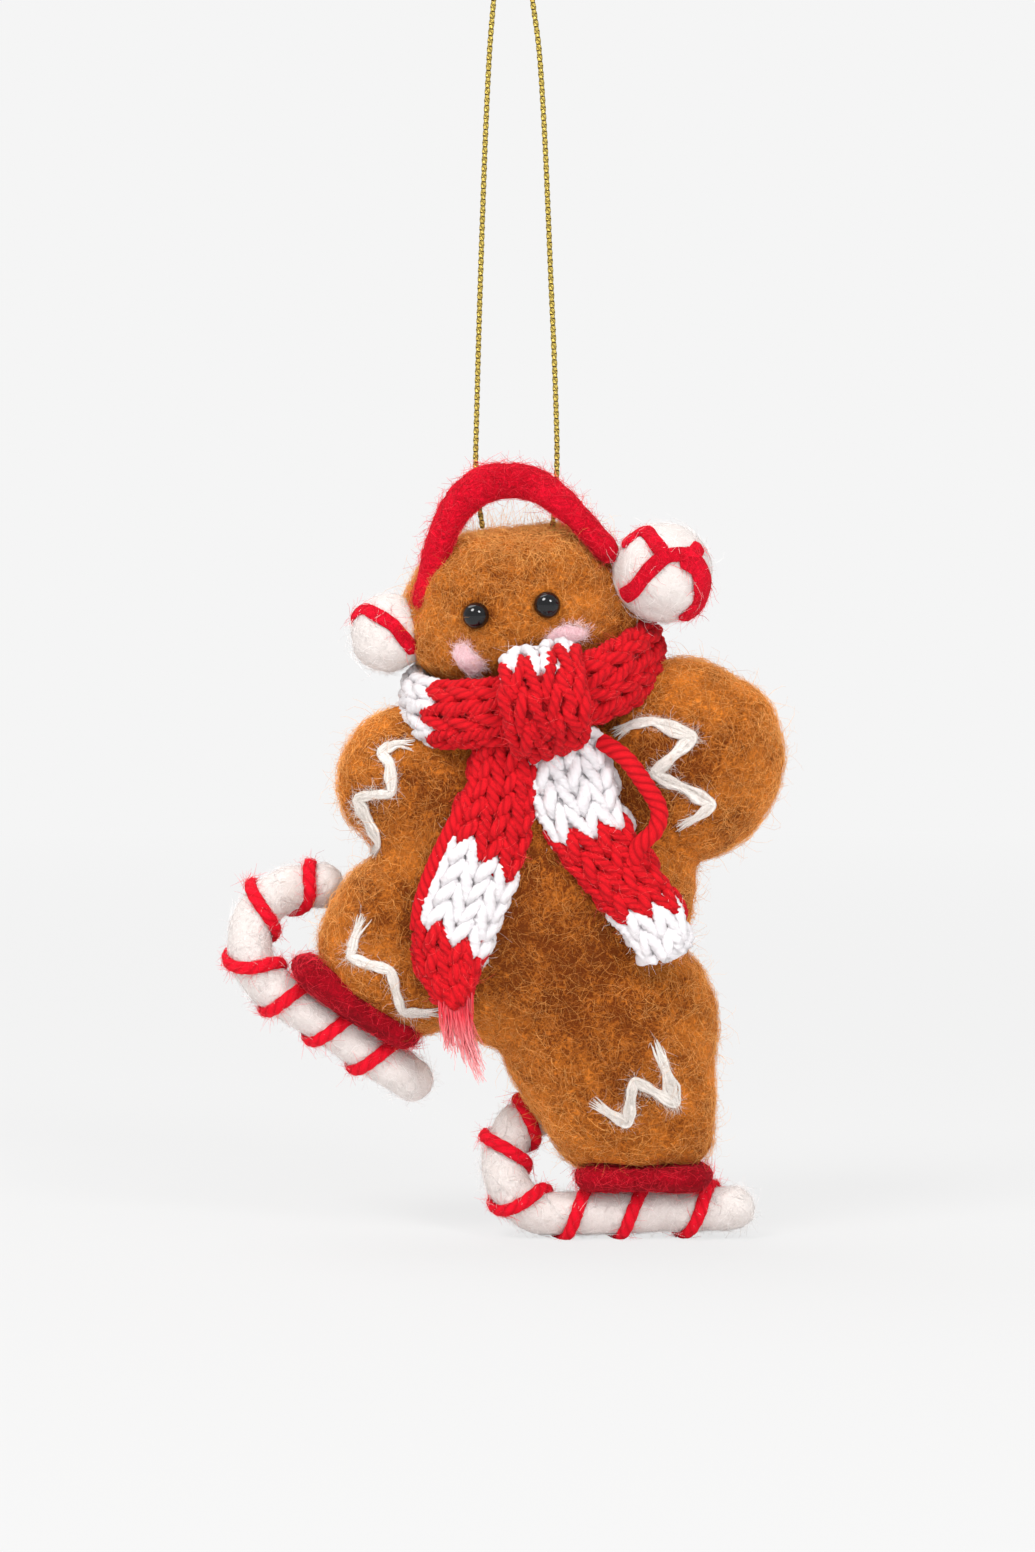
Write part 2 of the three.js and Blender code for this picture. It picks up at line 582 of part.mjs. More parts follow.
// Yarn wound round a cane as one unbroken tube. Each turn passes the front at the next share of the row, and
// the yarn starts and ends part of a turn from one. It prints the least gap between its turns.
function winding(name, curve, frontShares) {
  const steps = Math.round((frontShares.length - 1 - yarnStartShare - yarnEndShare) * yarnSteps);
  const reach = (caneDiameter + yarnThickness) / 2 + seatGap;
  const outward = [];
  const path = Array.from({ length: steps + 1 }, (_, k) => {
    const turns = yarnStartShare + k / yarnSteps;
    const frame = frameOn(curve, valueAt(frontShares, turns / (frontShares.length - 1)));
    const turn = 2 * Math.PI * (turns + 1 / 4);
    const out = frame.side.multiplyScalar(Math.cos(turn)).addScaledVector(frame.deep, Math.sin(turn));
    outward.push(out);
    return frame.at.clone().addScaledVector(out, reach);
  });
  const rings = path.map((at, k) => {
    const along = path[Math.min(k + 1, steps)].clone().sub(path[Math.max(k - 1, 0)]).normalize();
    const side = new THREE.Vector3().crossVectors(along, outward[k]).normalize();
    const deep = new THREE.Vector3().crossVectors(side, along);
    return ringOn({ at, side, deep }, yarnWidth / 2, yarnThickness / 2, yarnSides);
  });
  let gap = Infinity;
  for (let k = 0; k < rings.length; k += 1) {
    for (let other = k + yarnSteps / 2; other < rings.length; other += 1) {
      for (const point of rings[k]) {
        gap = Math.min(gap, ...rings[other].map((there) => there.distanceTo(point)));
      }
    }
  }
  console.log(`${name}: ${(steps / yarnSteps).toFixed(2)} turns, least gap ${gap.toFixed(2)} mm`);
  return skin(rings, [path[0], path[steps]]);
}

// A cane with its yarn, the boot that lies on them, and the leg whose foot is seated on the boot.
function addSkate(which, { curve, boot, heelward }, bootLength, frontShares, leg, rooms) {
  const cane = rod(curve, caneDiameter, caneDiameter, 22, tubeSides);
  addPiece(`cane_${which}`, cut(cane, roomOf(leg)), whiteWool);
  addPiece(`cane_yarn_${which}`, winding(`cane_yarn_${which}`, curve, frontShares), redWool);
  const wrappedDiameter = caneDiameter + 2 * (yarnThickness + 2 * seatGap);
  const wrapped = solid(rod(curve, wrappedDiameter, wrappedDiameter, 22, tubeSides));
  const toe = boot.clone().addScaledVector(heelward, -bootLength / 2);
  const heel = boot.clone().addScaledVector(heelward, bootLength / 2);
  const pad = rod(new THREE.LineCurve3(toe, heel), bootThickness, bootDepth, 4, tubeSides);
  addPiece(`boot_${which}`, cut(pad, wrapped), redWool);
  addPiece(`leg_${which}`, cut(leg, roomOf(pad), ...rooms), felt);
}
const skateRaised = skate(
  legRaisedSpineShares.at(-1), bootWebRaised, treadRaisedDegrees, heelRaised,
  hookRadiusRaised, hookTurnRaisedDegrees, hookRunRaised, hookLeanRaised,
);
const skateStanding = skate(
  legStandingSpineShares.at(-1), bootWebStanding, treadStandingDegrees, heelStanding,
  hookRadiusStanding, hookTurnStandingDegrees, hookRunStanding, hookLeanStanding,
);
const frontsRaisedShares = [0.04, 0.173, 0.308, 0.458, 0.574, 0.731, 0.886, 0.99];
const frontsStandingShares = [0.02, 0.147, 0.331, 0.479, 0.627, 0.778, 0.877, 0.97];
const raisedRooms = [torsoRoom, legStandingRoom];
addSkate('raised', skateRaised, bootRaisedLength, frontsRaisedShares, legRaised, raisedRooms);
addSkate('standing', skateStanding, bootStandingLength, frontsStandingShares, legStanding, [torsoRoom]);

export default ornament;
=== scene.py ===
"""A felted gingerbread man ornament on candy cane skates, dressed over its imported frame."""

import json
import math

import bpy
import numpy as np
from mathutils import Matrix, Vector
from mathutils.bvhtree import BVHTree

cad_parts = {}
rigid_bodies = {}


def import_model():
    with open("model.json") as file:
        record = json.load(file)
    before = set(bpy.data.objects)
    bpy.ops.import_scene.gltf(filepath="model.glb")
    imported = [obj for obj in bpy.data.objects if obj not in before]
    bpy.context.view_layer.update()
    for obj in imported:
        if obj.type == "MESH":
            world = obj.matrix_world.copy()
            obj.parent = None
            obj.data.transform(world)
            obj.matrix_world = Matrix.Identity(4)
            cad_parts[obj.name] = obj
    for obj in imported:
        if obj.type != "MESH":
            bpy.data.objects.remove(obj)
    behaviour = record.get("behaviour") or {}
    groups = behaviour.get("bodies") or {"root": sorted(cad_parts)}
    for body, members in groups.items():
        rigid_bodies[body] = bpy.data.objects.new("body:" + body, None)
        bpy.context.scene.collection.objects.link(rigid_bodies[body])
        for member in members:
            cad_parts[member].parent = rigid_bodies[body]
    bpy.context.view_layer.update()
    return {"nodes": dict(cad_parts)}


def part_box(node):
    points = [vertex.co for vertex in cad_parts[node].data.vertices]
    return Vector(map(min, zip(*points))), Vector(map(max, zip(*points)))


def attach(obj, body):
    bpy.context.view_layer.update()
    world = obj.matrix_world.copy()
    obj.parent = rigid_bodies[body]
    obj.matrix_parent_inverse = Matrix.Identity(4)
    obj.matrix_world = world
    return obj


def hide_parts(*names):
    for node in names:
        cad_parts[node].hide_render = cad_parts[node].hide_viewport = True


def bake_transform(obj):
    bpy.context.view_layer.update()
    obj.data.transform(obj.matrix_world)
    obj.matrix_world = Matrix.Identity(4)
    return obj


bl_info = {
    "name": "Felted Gingerbread Man",
    "version": (1, 0, 0),
    "blender": (4, 5, 0),
    "location": "View3D > Sidebar > Gingerbread",
    "description": "Felt, knitting, yarn and wool hair for a gingerbread man ornament",
    "category": "Object",
}

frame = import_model()
MM = 0.001
CROWN_DROP = 0.088
BODY_WIDTH = 0.068
BODY_HEIGHT = 0.0982
BODY_BACK = 0.0012
PX_PER_MM = 6.5
PICTURE_MIDDLE = 515
PICTURE_TOP = -50
FRONT = np.array([0.0, -1.0, 0.0])
UP = np.array([0.0, 0.0, 1.0])
THINNEST_END = 0.00002

# Pieces under which the body and head have no loose hair, added as they are made.
COVERS = []


# Settings.


def length_setting(name, description, default):
    return bpy.props.FloatProperty(name=name, description=description, default=default, unit="LENGTH")


def number_setting(name, description, default):
    return bpy.props.FloatProperty(name=name, description=description, default=default)


def colour_setting(name, description, default):
    return bpy.props.FloatVectorProperty(name=name, description=description, default=default, subtype="COLOR")


class CordSettings(bpy.types.PropertyGroup):
    """Sizes and colours of the hanging cord"""

    diameter: length_setting("Diameter", "Thickness of the twisted cord", 0.0009)
    twist: length_setting("Twist", "Length of one full turn of the cord's plies", 0.0026)
    gold: colour_setting("Gold", "Colour of the metallic ply", (0.70, 0.53, 0.12))
    dark: colour_setting("Dark", "Colour of the dark ply", (0.05, 0.03, 0.008))


class FeltSettings(bpy.types.PropertyGroup):
    """Colours and loose hair of the felt"""

    bright: colour_setting("Bright brown", "Colour of the lit gingerbread wool", (0.75, 0.232, 0.029))
    deep: colour_setting("Deep brown", "Colour of the wool in its hollows", (0.115, 0.023, 0.002))
    lumps: length_setting("Lumps", "Height of the lumps that the needle leaves", 0.0005)
    hair_length: length_setting("Hair length", "Length of the wool hairs laid on the felt", 0.0034)
    hair_thickness: length_setting("Hair thickness", "Thickness of one wool hair", 0.00008)


class ScarfSettings(bpy.types.PropertyGroup):
    """Gauge and colours of the knitted scarf"""

    stitch: length_setting("Stitch width", "Width of one stitch", 0.0041)
    row: length_setting("Row height", "Height of one row of stitches", 0.0039)
    yarn: length_setting("Yarn thickness", "Thickness of the plied yarn", 0.0022)
    red: colour_setting("Red", "Colour of the red yarn", (0.745, 0.009, 0.017))
    white: colour_setting("White", "Colour of the white yarn", (0.785, 0.76, 0.78))


class StageSettings(bpy.types.PropertyGroup):
    """Camera and light of the picture"""

    distance: length_setting("Camera distance", "From the camera to the figure", 0.9)
    elevation: bpy.props.FloatProperty(
        name="Camera elevation", description="How far the camera looks down", default=math.radians(4.0),
        subtype="ANGLE",
    )
    world: number_setting("World light", "Strength of the even light all round", 0.56)
    backdrop: number_setting("Backdrop", "How bright the background is seen, where 1 is white", 0.913)
    floor_light: number_setting("Floor light", "What the lamps add to the floor under the figure", 0.13)


# Lines and forms.


def mm(points):
    return np.array(points, float) * MM


def spot(shares, y=BODY_BACK):
    """A point on the man, from shares of his width and of his height below the crown."""
    a = np.array(shares, float).reshape(-1, 2)
    return np.stack([a[:, 0] * BODY_WIDTH, np.full(len(a), y), -CROWN_DROP - a[:, 1] * BODY_HEIGHT], 1)


def unit(v):
    return v / np.maximum(np.linalg.norm(v, axis=-1, keepdims=True), 1e-12)


def across_and_front(along):
    """The directions across a line and towards the viewer, square to the line."""
    side = unit(np.cross(along, FRONT))
    return side, unit(np.cross(side, along))


class Line:
    """A smooth line through points, measured along its length."""

    def __init__(self, points, closed=False, fine=24):
        p = np.array(points, float)
        if closed:
            q = np.vstack([p[-1], p, p[0], p[1]])
        else:
            q = np.vstack([2 * p[0] - p[1], p, 2 * p[-1] - p[-2]])
        t = np.linspace(0, 1, fine, endpoint=False)[:, None]
        rows = []
        for a, b, c, d in zip(q[:-3], q[1:-2], q[2:-1], q[3:]):
            bend, twist = 2 * a - 5 * b + 4 * c - d, 3 * b - a - 3 * c + d
            rows.append(0.5 * (2 * b + (c - a) * t + bend * t**2 + twist * t**3))
        rows.append(q[-2][None])
        self.points = np.vstack(rows)
        step = np.linalg.norm(np.diff(self.points, axis=0), axis=1)
        self.at = np.concatenate([[0], np.cumsum(step)])
        self.length = self.at[-1]
        self.closed = closed

    def place(self, s):
        s = np.asarray(s, float)
        if self.closed:
            s = s % self.length
        return np.stack([np.interp(s, self.at, column) for column in self.points.T], -1)

    def tangent(self, s, reach=0.0004):
        s = np.asarray(s, float)
        if self.closed:
            return unit(self.place(s + reach) - self.place(s - reach))
        low, high = np.clip(s - reach, 0, self.length), np.clip(s + reach, 0, self.length)
        return unit(self.place(high) - self.place(low))

    def even(self, spacing):
        return self.place(np.linspace(0, self.length, max(3, int(round(self.length / spacing)) + 1)))


def row_value(row, share):
    """A smooth value from a row of evenly spaced ones."""
    line = np.array(row, float)
    x = np.linspace(0, 1, len(line))
    share = np.clip(share, 0, 1)
    k = np.clip((share * (len(line) - 1)).astype(int), 0, len(line) - 2)
    t = share * (len(line) - 1) - k
    t = t * t * (3 - 2 * t) * 0.35 + t * 0.65
    return line[k] * (1 - t) + line[k + 1] * t


def waves(points, size, seed, layers=5):
    """Soft lumps from -1 to 1 over points, about size across."""
    rng = np.random.RandomState(seed)
    total = np.zeros(len(points))
    for _ in range(layers):
        way = unit(rng.normal(size=3)) * 2 * math.pi / (size * rng.uniform(0.8, 1.7))
        bend = unit(rng.normal(size=3)) * 2 * math.pi / (size * rng.uniform(1.5, 3))
        start = points @ way + rng.uniform(0, 6.28)
        total += np.sin(start + 1.4 * np.sin(points @ bend + rng.uniform(0, 6.28)))
    return total / layers * 1.3


# Meshes.


def deselect():
    if bpy.context.object and bpy.context.object.mode != "OBJECT":
        bpy.ops.object.mode_set(mode="OBJECT")
    bpy.ops.object.select_all(action="DESELECT")


def pick(obj):
    deselect()
    obj.select_set(True)
    bpy.context.view_layer.objects.active = obj


def new_piece(name, points, faces):
    """A smooth mesh object from arrays of points and of faces with three or four corners."""
    faces = np.asarray(faces, np.int32)
    mesh = bpy.data.meshes.new(name)
    mesh.vertices.add(len(points))
    mesh.vertices.foreach_set("co", np.asarray(points, np.float32).ravel())
    sides = faces.shape[1]
    mesh.loops.add(faces.size)
    mesh.loops.foreach_set("vertex_index", faces.ravel())
    mesh.polygons.add(len(faces))
    mesh.polygons.foreach_set("loop_start", np.arange(0, faces.size, sides, dtype=np.int32))
    mesh.update(calc_edges=True)
    mesh.polygons.foreach_set("use_smooth", np.full(len(faces), True))
    mesh.validate()
    obj = bpy.data.objects.new(name, mesh)
    bpy.context.scene.collection.objects.link(obj)
    return obj


def add_attribute(obj, name, values):
    layer = obj.data.attributes.new(name, "FLOAT", "POINT")
    layer.data.foreach_set("value", np.asarray(values, np.float32))


def apply_modifier(obj, kind, **values):
    pick(obj)
    modifier = obj.modifiers.new(kind.title(), kind)
    for key, value in values.items():
        setattr(modifier, key, value)
    bpy.ops.object.modifier_apply(modifier=modifier.name)


def points_of(obj):
    out = np.empty(len(obj.data.vertices) * 3, np.float32)
    obj.data.vertices.foreach_get("co", out)
    return out.reshape(-1, 3).astype(float)


def set_points(obj, points):
    obj.data.vertices.foreach_set("co", np.asarray(points, np.float32).ravel())
    obj.data.update()


def normals_of(obj):
    out = np.empty(len(obj.data.vertices) * 3, np.float32)
    obj.data.vertex_normals.foreach_get("vector", out)
    return out.reshape(-1, 3).astype(float)


def triangles_of(obj):
    obj.data.calc_loop_triangles()
    out = np.empty(len(obj.data.loop_triangles) * 3, np.int32)
    obj.data.loop_triangles.foreach_get("vertices", out)
    return out.reshape(-1, 3)


def set_material(obj, material):
    obj.data.materials.clear()
    obj.data.materials.append(material)


def finished(obj, material, body="figure", replaced=(), cover=False):
    """Gives a piece its material and body, hides the CAD nodes it stands for, and may add it to the covers.
    """
    set_material(obj, material)
    if body:
        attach(obj, body)
    if replaced:
        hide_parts(*replaced)
    if cover:
        COVERS.append(obj)


def lump(obj, height, *layers):
    """Moves a surface in and out in soft lumps. A layer is a share, a size, a seed and a count of waves."""
    points, normals = points_of(obj), normals_of(obj)
    rise = sum(share * waves(points, size, seed, count) for share, size, seed, count in layers)
    set_points(obj, points + normals * (height * rise)[:, None])
    return points, normals


def edit_whole(obj, operator, **values):
    """Runs a mesh operator on the whole of an object."""
    pick(obj)
    bpy.ops.object.mode_set(mode="EDIT")
    bpy.ops.mesh.select_all(action="SELECT")
    operator(**values)
    bpy.ops.object.mode_set(mode="OBJECT")


def tube(points, refs, radius, sides=12, plies=0, twist=0.004, groove=0.16, flat=1.0):
    """A round or plied tube along points. refs point away from what the tube lies on, and flat squeezes it
    along them. Each ply follows one row of corners. Returns points, faces, depth in the grooves and a map."""
    points = np.asarray(points, float)
    n = len(points)
    along = unit(np.gradient(points, axis=0))
    side = unit(np.cross(along, refs))
    deep = np.cross(side, along)
    step = np.linalg.norm(np.diff(points, axis=0), axis=1)
    run = np.concatenate([[0], np.cumsum(step)])
    radius = np.broadcast_to(np.asarray(radius, float), (n,))
    share = np.arange(sides) / sides
    turn = 2 * math.pi * share[None] + np.zeros((n, 1))
    valley = np.zeros(sides)
    if plies:
        turn = turn + 2 * math.pi * run[:, None] / twist
        valley = 1 - np.abs(np.sin(plies * math.pi * share))
    size = (1 - groove * valley) * radius[:, None]
    across = (size * np.cos(turn))[..., None] * side[:, None]
    out = (size * np.sin(turn) * flat)[..., None] * deep[:, None]
    body = (points[:, None] + across + out).reshape(-1, 3)
    ends = np.vstack([points[0] - along[0] * radius[0] * 0.5, points[-1] + along[-1] * radius[-1] * 0.5])
    ring, col = np.divmod(np.arange((n - 1) * sides), sides)
    a, b = ring * sides + col, ring * sides + (col + 1) % sides
    first, last, top = len(body), len(body) + 1, (n - 1) * sides
    c = np.arange(sides)
    d = (c + 1) % sides
    faces = np.vstack([
        np.stack([a, b, b + sides], 1), np.stack([a, b + sides, a + sides], 1),
        np.stack([np.full(sides, first), d, c], 1), np.stack([np.full(sides, last), top + c, top + d], 1),
    ])
    u, v, w = col / sides, run[ring] / 0.01, run[ring + 1] / 0.01
    beside, tip = u + 1 / sides, run[-1] / 0.01 + 0 * c
    places = np.vstack([
        np.stack([u, v, beside, v, beside, w], 1), np.stack([u, v, beside, w, u, w], 1),
        np.stack([c / sides, 0 * c, (c + 1) / sides, 0 * c, c / sides, 0 * c], 1),
        np.stack([c / sides, tip, c / sides, tip, (c + 1) / sides, tip], 1),
    ])
    return np.vstack([body, ends]), faces, np.concatenate([np.tile(valley, n), [0, 0]]), places


class Bundle:
    """Tubes gathered into one mesh."""

    def __init__(self):
        self.points, self.faces, self.valleys, self.places, self.kinds = [], [], [], [], []
        self.count = 0

    def add(self, made, kind=0.0):
        points, faces, valley, places = made
        self.points.append(points)
        self.faces.append(faces + self.count)
        self.valleys.append(valley)
        self.places.append(places)
        self.kinds.append(np.broadcast_to(kind, (len(points),)))
        self.count += len(points)

    def piece(self, name):
        obj = new_piece(name, np.vstack(self.points), np.vstack(self.faces))
        add_attribute(obj, "valley", np.concatenate(self.valleys))
        add_attribute(obj, "kind", np.concatenate(self.kinds))
        layer = obj.data.uv_layers.new(name="yarn")
        layer.uv.foreach_set("vector", np.vstack(self.places).astype(np.float32).ravel())
        return obj


def tube_piece(name, *shape, kind=0.0, **options):
    """One tube as an object."""
    bundle = Bundle()
    bundle.add(tube(*shape, **options), kind)
    return bundle.piece(name)


# Materials.


def node(tree, kind, **values):
    made = tree.nodes.new(kind)
    for key, value in values.items():
        setattr(made, key, value)
    return made


def math_node(tree, operation, a, b=None, clamp=False):
    made = node(tree, "ShaderNodeMath", operation=operation, use_clamp=clamp)
    for k, value in enumerate((a, b)):
        if value is None:
            continue
        if isinstance(value, (int, float)):
            made.inputs[k].default_value = value
        else:
            tree.links.new(value, made.inputs[k])
    return made.outputs[0]


def mix_colour(tree, share, a, b):
    made = node(tree, "ShaderNodeMix", data_type="RGBA", blend_type="MIX")
    for k, value in ((0, share), (6, a), (7, b)):
        if isinstance(value, (int, float)):
            made.inputs[k].default_value = value
        elif isinstance(value, tuple):
            made.inputs[k].default_value = (*value[:3], 1)
        else:
            tree.links.new(value, made.inputs[k])
    return made.outputs[2]


def times(tree, a, b, clamp=False):
    return math_node(tree, "MULTIPLY", a, b, clamp)


def plus(tree, a, b, clamp=False):
    return math_node(tree, "ADD", a, b, clamp)


def minus(tree, a, b):
    return math_node(tree, "SUBTRACT", a, b)


def larger(tree, a, b, clamp=False):
    return math_node(tree, "MAXIMUM", a, b, clamp)


def attribute(tree, name):
    return node(tree, "ShaderNodeAttribute", attribute_name=name).outputs["Fac"]


def object_place(tree):
    return node(tree, "ShaderNodeTexCoord").outputs["Object"]


def yarn_map(tree):
    return node(tree, "ShaderNodeUVMap", uv_map="yarn").outputs["UV"]


def bumped(tree, shader, height, distance):
    """Gives a shader the relief of a height."""
    relief = node(tree, "ShaderNodeBump")
    relief.inputs["Distance"].default_value = distance
    tree.links.new(height, relief.inputs["Height"])
    tree.links.new(relief.outputs["Normal"], shader.inputs["Normal"])


def noise(tree, place, scale, detail=3.0, rough=0.55, distortion=0.0):
    made = node(tree, "ShaderNodeTexNoise", noise_type="FBM")
    made.inputs["Scale"].default_value = scale
    made.inputs["Detail"].default_value = detail
    made.inputs["Roughness"].default_value = rough
    made.inputs["Distortion"].default_value = distortion
    tree.links.new(place, made.inputs["Vector"])
    return made.outputs["Fac"]


def remap(tree, value, low, high, to_low=0.0, to_high=1.0):
    made = node(tree, "ShaderNodeMapRange", clamp=True)
    tree.links.new(value, made.inputs["Value"])
    for name, number in (("From Min", low), ("From Max", high), ("To Min", to_low), ("To Max", to_high)):
        made.inputs[name].default_value = number
    return made.outputs["Result"]


def strands(tree, place, scale, levels, width, shift):
    """Thin curved lines, along which a noise keeps one of a few values."""
    moved = node(tree, "ShaderNodeMapping")
    moved.inputs["Location"].default_value = shift
    tree.links.new(place, moved.inputs["Vector"])
    field = noise(tree, moved.outputs["Vector"], scale, 1.5, 0.5, 0.25)
    apart = math_node(tree, "PINGPONG", times(tree, field, levels), 0.5)
    return remap(tree, apart, 0.0, width, 1.0, 0.0)


def effect_group(name, colours, numbers=()):
    """A node group with named colour and number inputs, which puts out a colour and a height."""
    tree = bpy.data.node_groups.new(name, "ShaderNodeTree")
    for socket in colours:
        tree.interface.new_socket(name=socket, in_out="INPUT", socket_type="NodeSocketColor")
    for socket in numbers:
        tree.interface.new_socket(name=socket, in_out="INPUT", socket_type="NodeSocketFloat")
    tree.interface.new_socket(name="Color", in_out="OUTPUT", socket_type="NodeSocketColor")
    tree.interface.new_socket(name="Height", in_out="OUTPUT", socket_type="NodeSocketFloat")
    return tree, node(tree, "NodeGroupInput").outputs, node(tree, "NodeGroupOutput").inputs


def wool_group():
    """Matted wool: fine curled strands over darker gaps, with lighter and darker patches, painted rim light
    where the surface turns away from the front and painted shade towards the middle of the body.
    """
    tree, given, out = effect_group("matted wool", ("Deep", "Bright"), ("Patches", "Painted Rim Light", "Middle"))
    place = object_place(tree)
    patches = remap(tree, noise(tree, place, 120, 3, 0.6, 0.6), 0.3, 0.72)
    tufts = remap(tree, noise(tree, place, 620, 3, 0.65, 0.8), 0.32, 0.68)
    fine = remap(tree, noise(tree, place, 3800, 2, 0.6, 0.8), 0.3, 0.7)
    over = remap(tree, noise(tree, place, 900, 2, 0.6, 0.5), 0.35, 0.65, 0.3, 1.0)
    long = strands(tree, place, 380, 7, 0.16, (0.11, 0.03, 0.07))
    short = strands(tree, place, 760, 5, 0.17, (0.31, 0.17, 0.05))
    frizz = strands(tree, place, 1250, 4, 0.2, (0.07, 0.29, 0.13))
    lit = larger(tree, times(tree, long, 0.85), times(tree, short, 0.95))
    lit = times(tree, larger(tree, lit, times(tree, frizz, 0.75)), over)
    height = plus(tree, times(tree, lit, 0.6), times(tree, tufts, 0.25))
    height = plus(tree, height, times(tree, fine, 0.15))
    patch_part = times(tree, minus(tree, patches, 0.55), given["Patches"])
    # Painted rim light: lighter where the edge attribute says the surface turns away from the front.
    painted_rim_light = times(tree, attribute(tree, "edge"), plus(tree, times(tree, patches, 0.7), 0.2))
    # Painted shade: darker where the middle attribute says a point lies deep inside the outline.
    darker = times(tree, attribute(tree, "middle"), given["Middle"])
    share = plus(tree, times(tree, height, 1.1), patch_part)
    share = plus(tree, minus(tree, share, darker), times(tree, painted_rim_light, given["Painted Rim Light"]), clamp=True)
    tree.links.new(mix_colour(tree, share, given["Deep"], given["Bright"]), out["Color"])
    tree.links.new(height, out["Height"])
    return tree


def yarn_group():
    """Plied yarn: hairs along each ply and shade in the grooves between them."""
    tree, given, out = effect_group("plied yarn", ("Deep", "Bright"))
    stretch = node(tree, "ShaderNodeMapping")
    stretch.inputs["Scale"].default_value = (34, 9, 1)
    tree.links.new(yarn_map(tree), stretch.inputs["Vector"])
    hairs = remap(tree, noise(tree, stretch.outputs["Vector"], 1.0, 4, 0.65, 0.5), 0.3, 0.7)
    fluff = remap(tree, noise(tree, object_place(tree), 2600, 3, 0.6, 1.0), 0.3, 0.7)
    hollow = math_node(tree, "POWER", attribute(tree, "valley"), 1.3)
    crest = minus(tree, 1.0, times(tree, hollow, 0.72))
    fibres = plus(tree, times(tree, hairs, 0.65), times(tree, fluff, 0.35))
    share = times(tree, plus(tree, times(tree, fibres, 0.55), 0.5), crest, clamp=True)
    tree.links.new(mix_colour(tree, share, given["Deep"], given["Bright"]), out["Color"])
    tree.links.new(times(tree, fibres, crest), out["Height"])
    return tree


def shared(name, make):
    return bpy.data.node_groups.get(name) or make()


def effect_node(tree, group, deep, bright):
    effect = node(tree, "ShaderNodeGroup")
    effect.node_tree = group
    effect.inputs["Deep"].default_value = (*deep, 1)
    effect.inputs["Bright"].default_value = (*bright, 1)
    return effect


def blank_material(name, roughness, sheen=0.0, sheen_tint=(1, 1, 1)):
    material = bpy.data.materials.new(name)
    material.use_nodes = True
    shader = material.node_tree.nodes["Principled BSDF"]
    shader.inputs["Roughness"].default_value = roughness
    shader.inputs["Specular IOR Level"].default_value = 0.1
    shader.inputs["Sheen Weight"].default_value = sheen
    shader.inputs["Sheen Roughness"].default_value = 0.45
    shader.inputs["Sheen Tint"].default_value = (*sheen_tint, 1)
    return material, material.node_tree, shader


def grouped_material(name, group, deep, bright, bump, roughness, sheen, **amounts):
    """A material made of one shared effect, with its own colours and amounts."""
    found = bpy.data.materials.get(name)
    if found:
        return found
    tint = tuple(min(1.0, 0.1 + 1.1 * c) for c in bright)
    material, tree, shader = blank_material(name, roughness, sheen, tint)
    effect = effect_node(tree, group, deep, bright)
    for socket, amount in amounts.items():
        effect.inputs[socket].default_value = amount
    tree.links.new(effect.outputs["Color"], shader.inputs["Base Color"])
    bumped(tree, shader, effect.outputs["Height"], bump)
    return material


# rim sets the painted rim light, and middle the painted shade towards the middle of the body.
def wool(name, deep, bright, patches=0.4, bump=0.0003, sheen=0.08, rim=0.0, middle=0.0):
    group = shared("matted wool", wool_group)
    amounts = {"Patches": patches, "Painted Rim Light": rim, "Middle": middle}
    return grouped_material(name, group, deep, bright, bump, 0.95, sheen, **amounts)


def yarn_material(name, deep, bright):
    return grouped_material(name, shared("plied yarn", yarn_group), deep, bright, 0.00012, 0.85, 0.05)


def felt_brown():
    s = bpy.context.scene.felt_settings
    # The body's felt gets painted rim light and painted shade in its middle.
    return wool("gingerbread felt", tuple(s.deep), tuple(s.bright), sheen=0.22, rim=0.6, middle=0.27)


def red_felt():
    return wool("red felt", (0.34, 0.001, 0.008), (0.86, 0.006, 0.030))


# A deeper red than the red felt: partly the boots' own crimson, partly painted shade under the legs.
def boot_felt_deeper_and_shaded():
    return wool("boot felt deeper and shaded", (0.15, 0.001, 0.004), (0.46, 0.002, 0.014), sheen=0.03)


def white_felt():
    return wool("white felt", (0.55, 0.50, 0.48), (0.67, 0.63, 0.61), 0.3, 0.00012)


def icing_wool():
    return wool("icing wool", (0.62, 0.57, 0.53), (0.84, 0.81, 0.78), 0.3, 0.0002)


def pink_wool():
    return wool("pink wool", (0.68, 0.40, 0.44), (0.92, 0.68, 0.71), 0.4, 0.0002)


def red_yarn():
    s = bpy.context.scene.scarf_settings
    return yarn_material("red yarn", tuple(c * 0.22 for c in s.red), tuple(s.red))


def winding_yarn():
    return yarn_material("winding yarn", (0.34, 0.002, 0.007), (0.82, 0.006, 0.024))


def scarf_yarn():
    """Plied yarn that is red or white by its row."""
    found = bpy.data.materials.get("scarf yarn")
    if found:
        return found
    s = bpy.context.scene.scarf_settings
    material, tree, shader = blank_material("scarf yarn", 0.85, 0.05, (1, 0.4, 0.4))
    group = shared("plied yarn", yarn_group)
    red = effect_node(tree, group, tuple(c * 0.27 for c in s.red), tuple(s.red)).outputs
    white = effect_node(tree, group, tuple(c * 0.82 for c in s.white), tuple(s.white)).outputs
    mixed = mix_colour(tree, attribute(tree, "kind"), red["Color"], white["Color"])
    tree.links.new(mixed, shader.inputs["Base Color"])
    bumped(tree, shader, red["Height"], 0.00012)
    return material


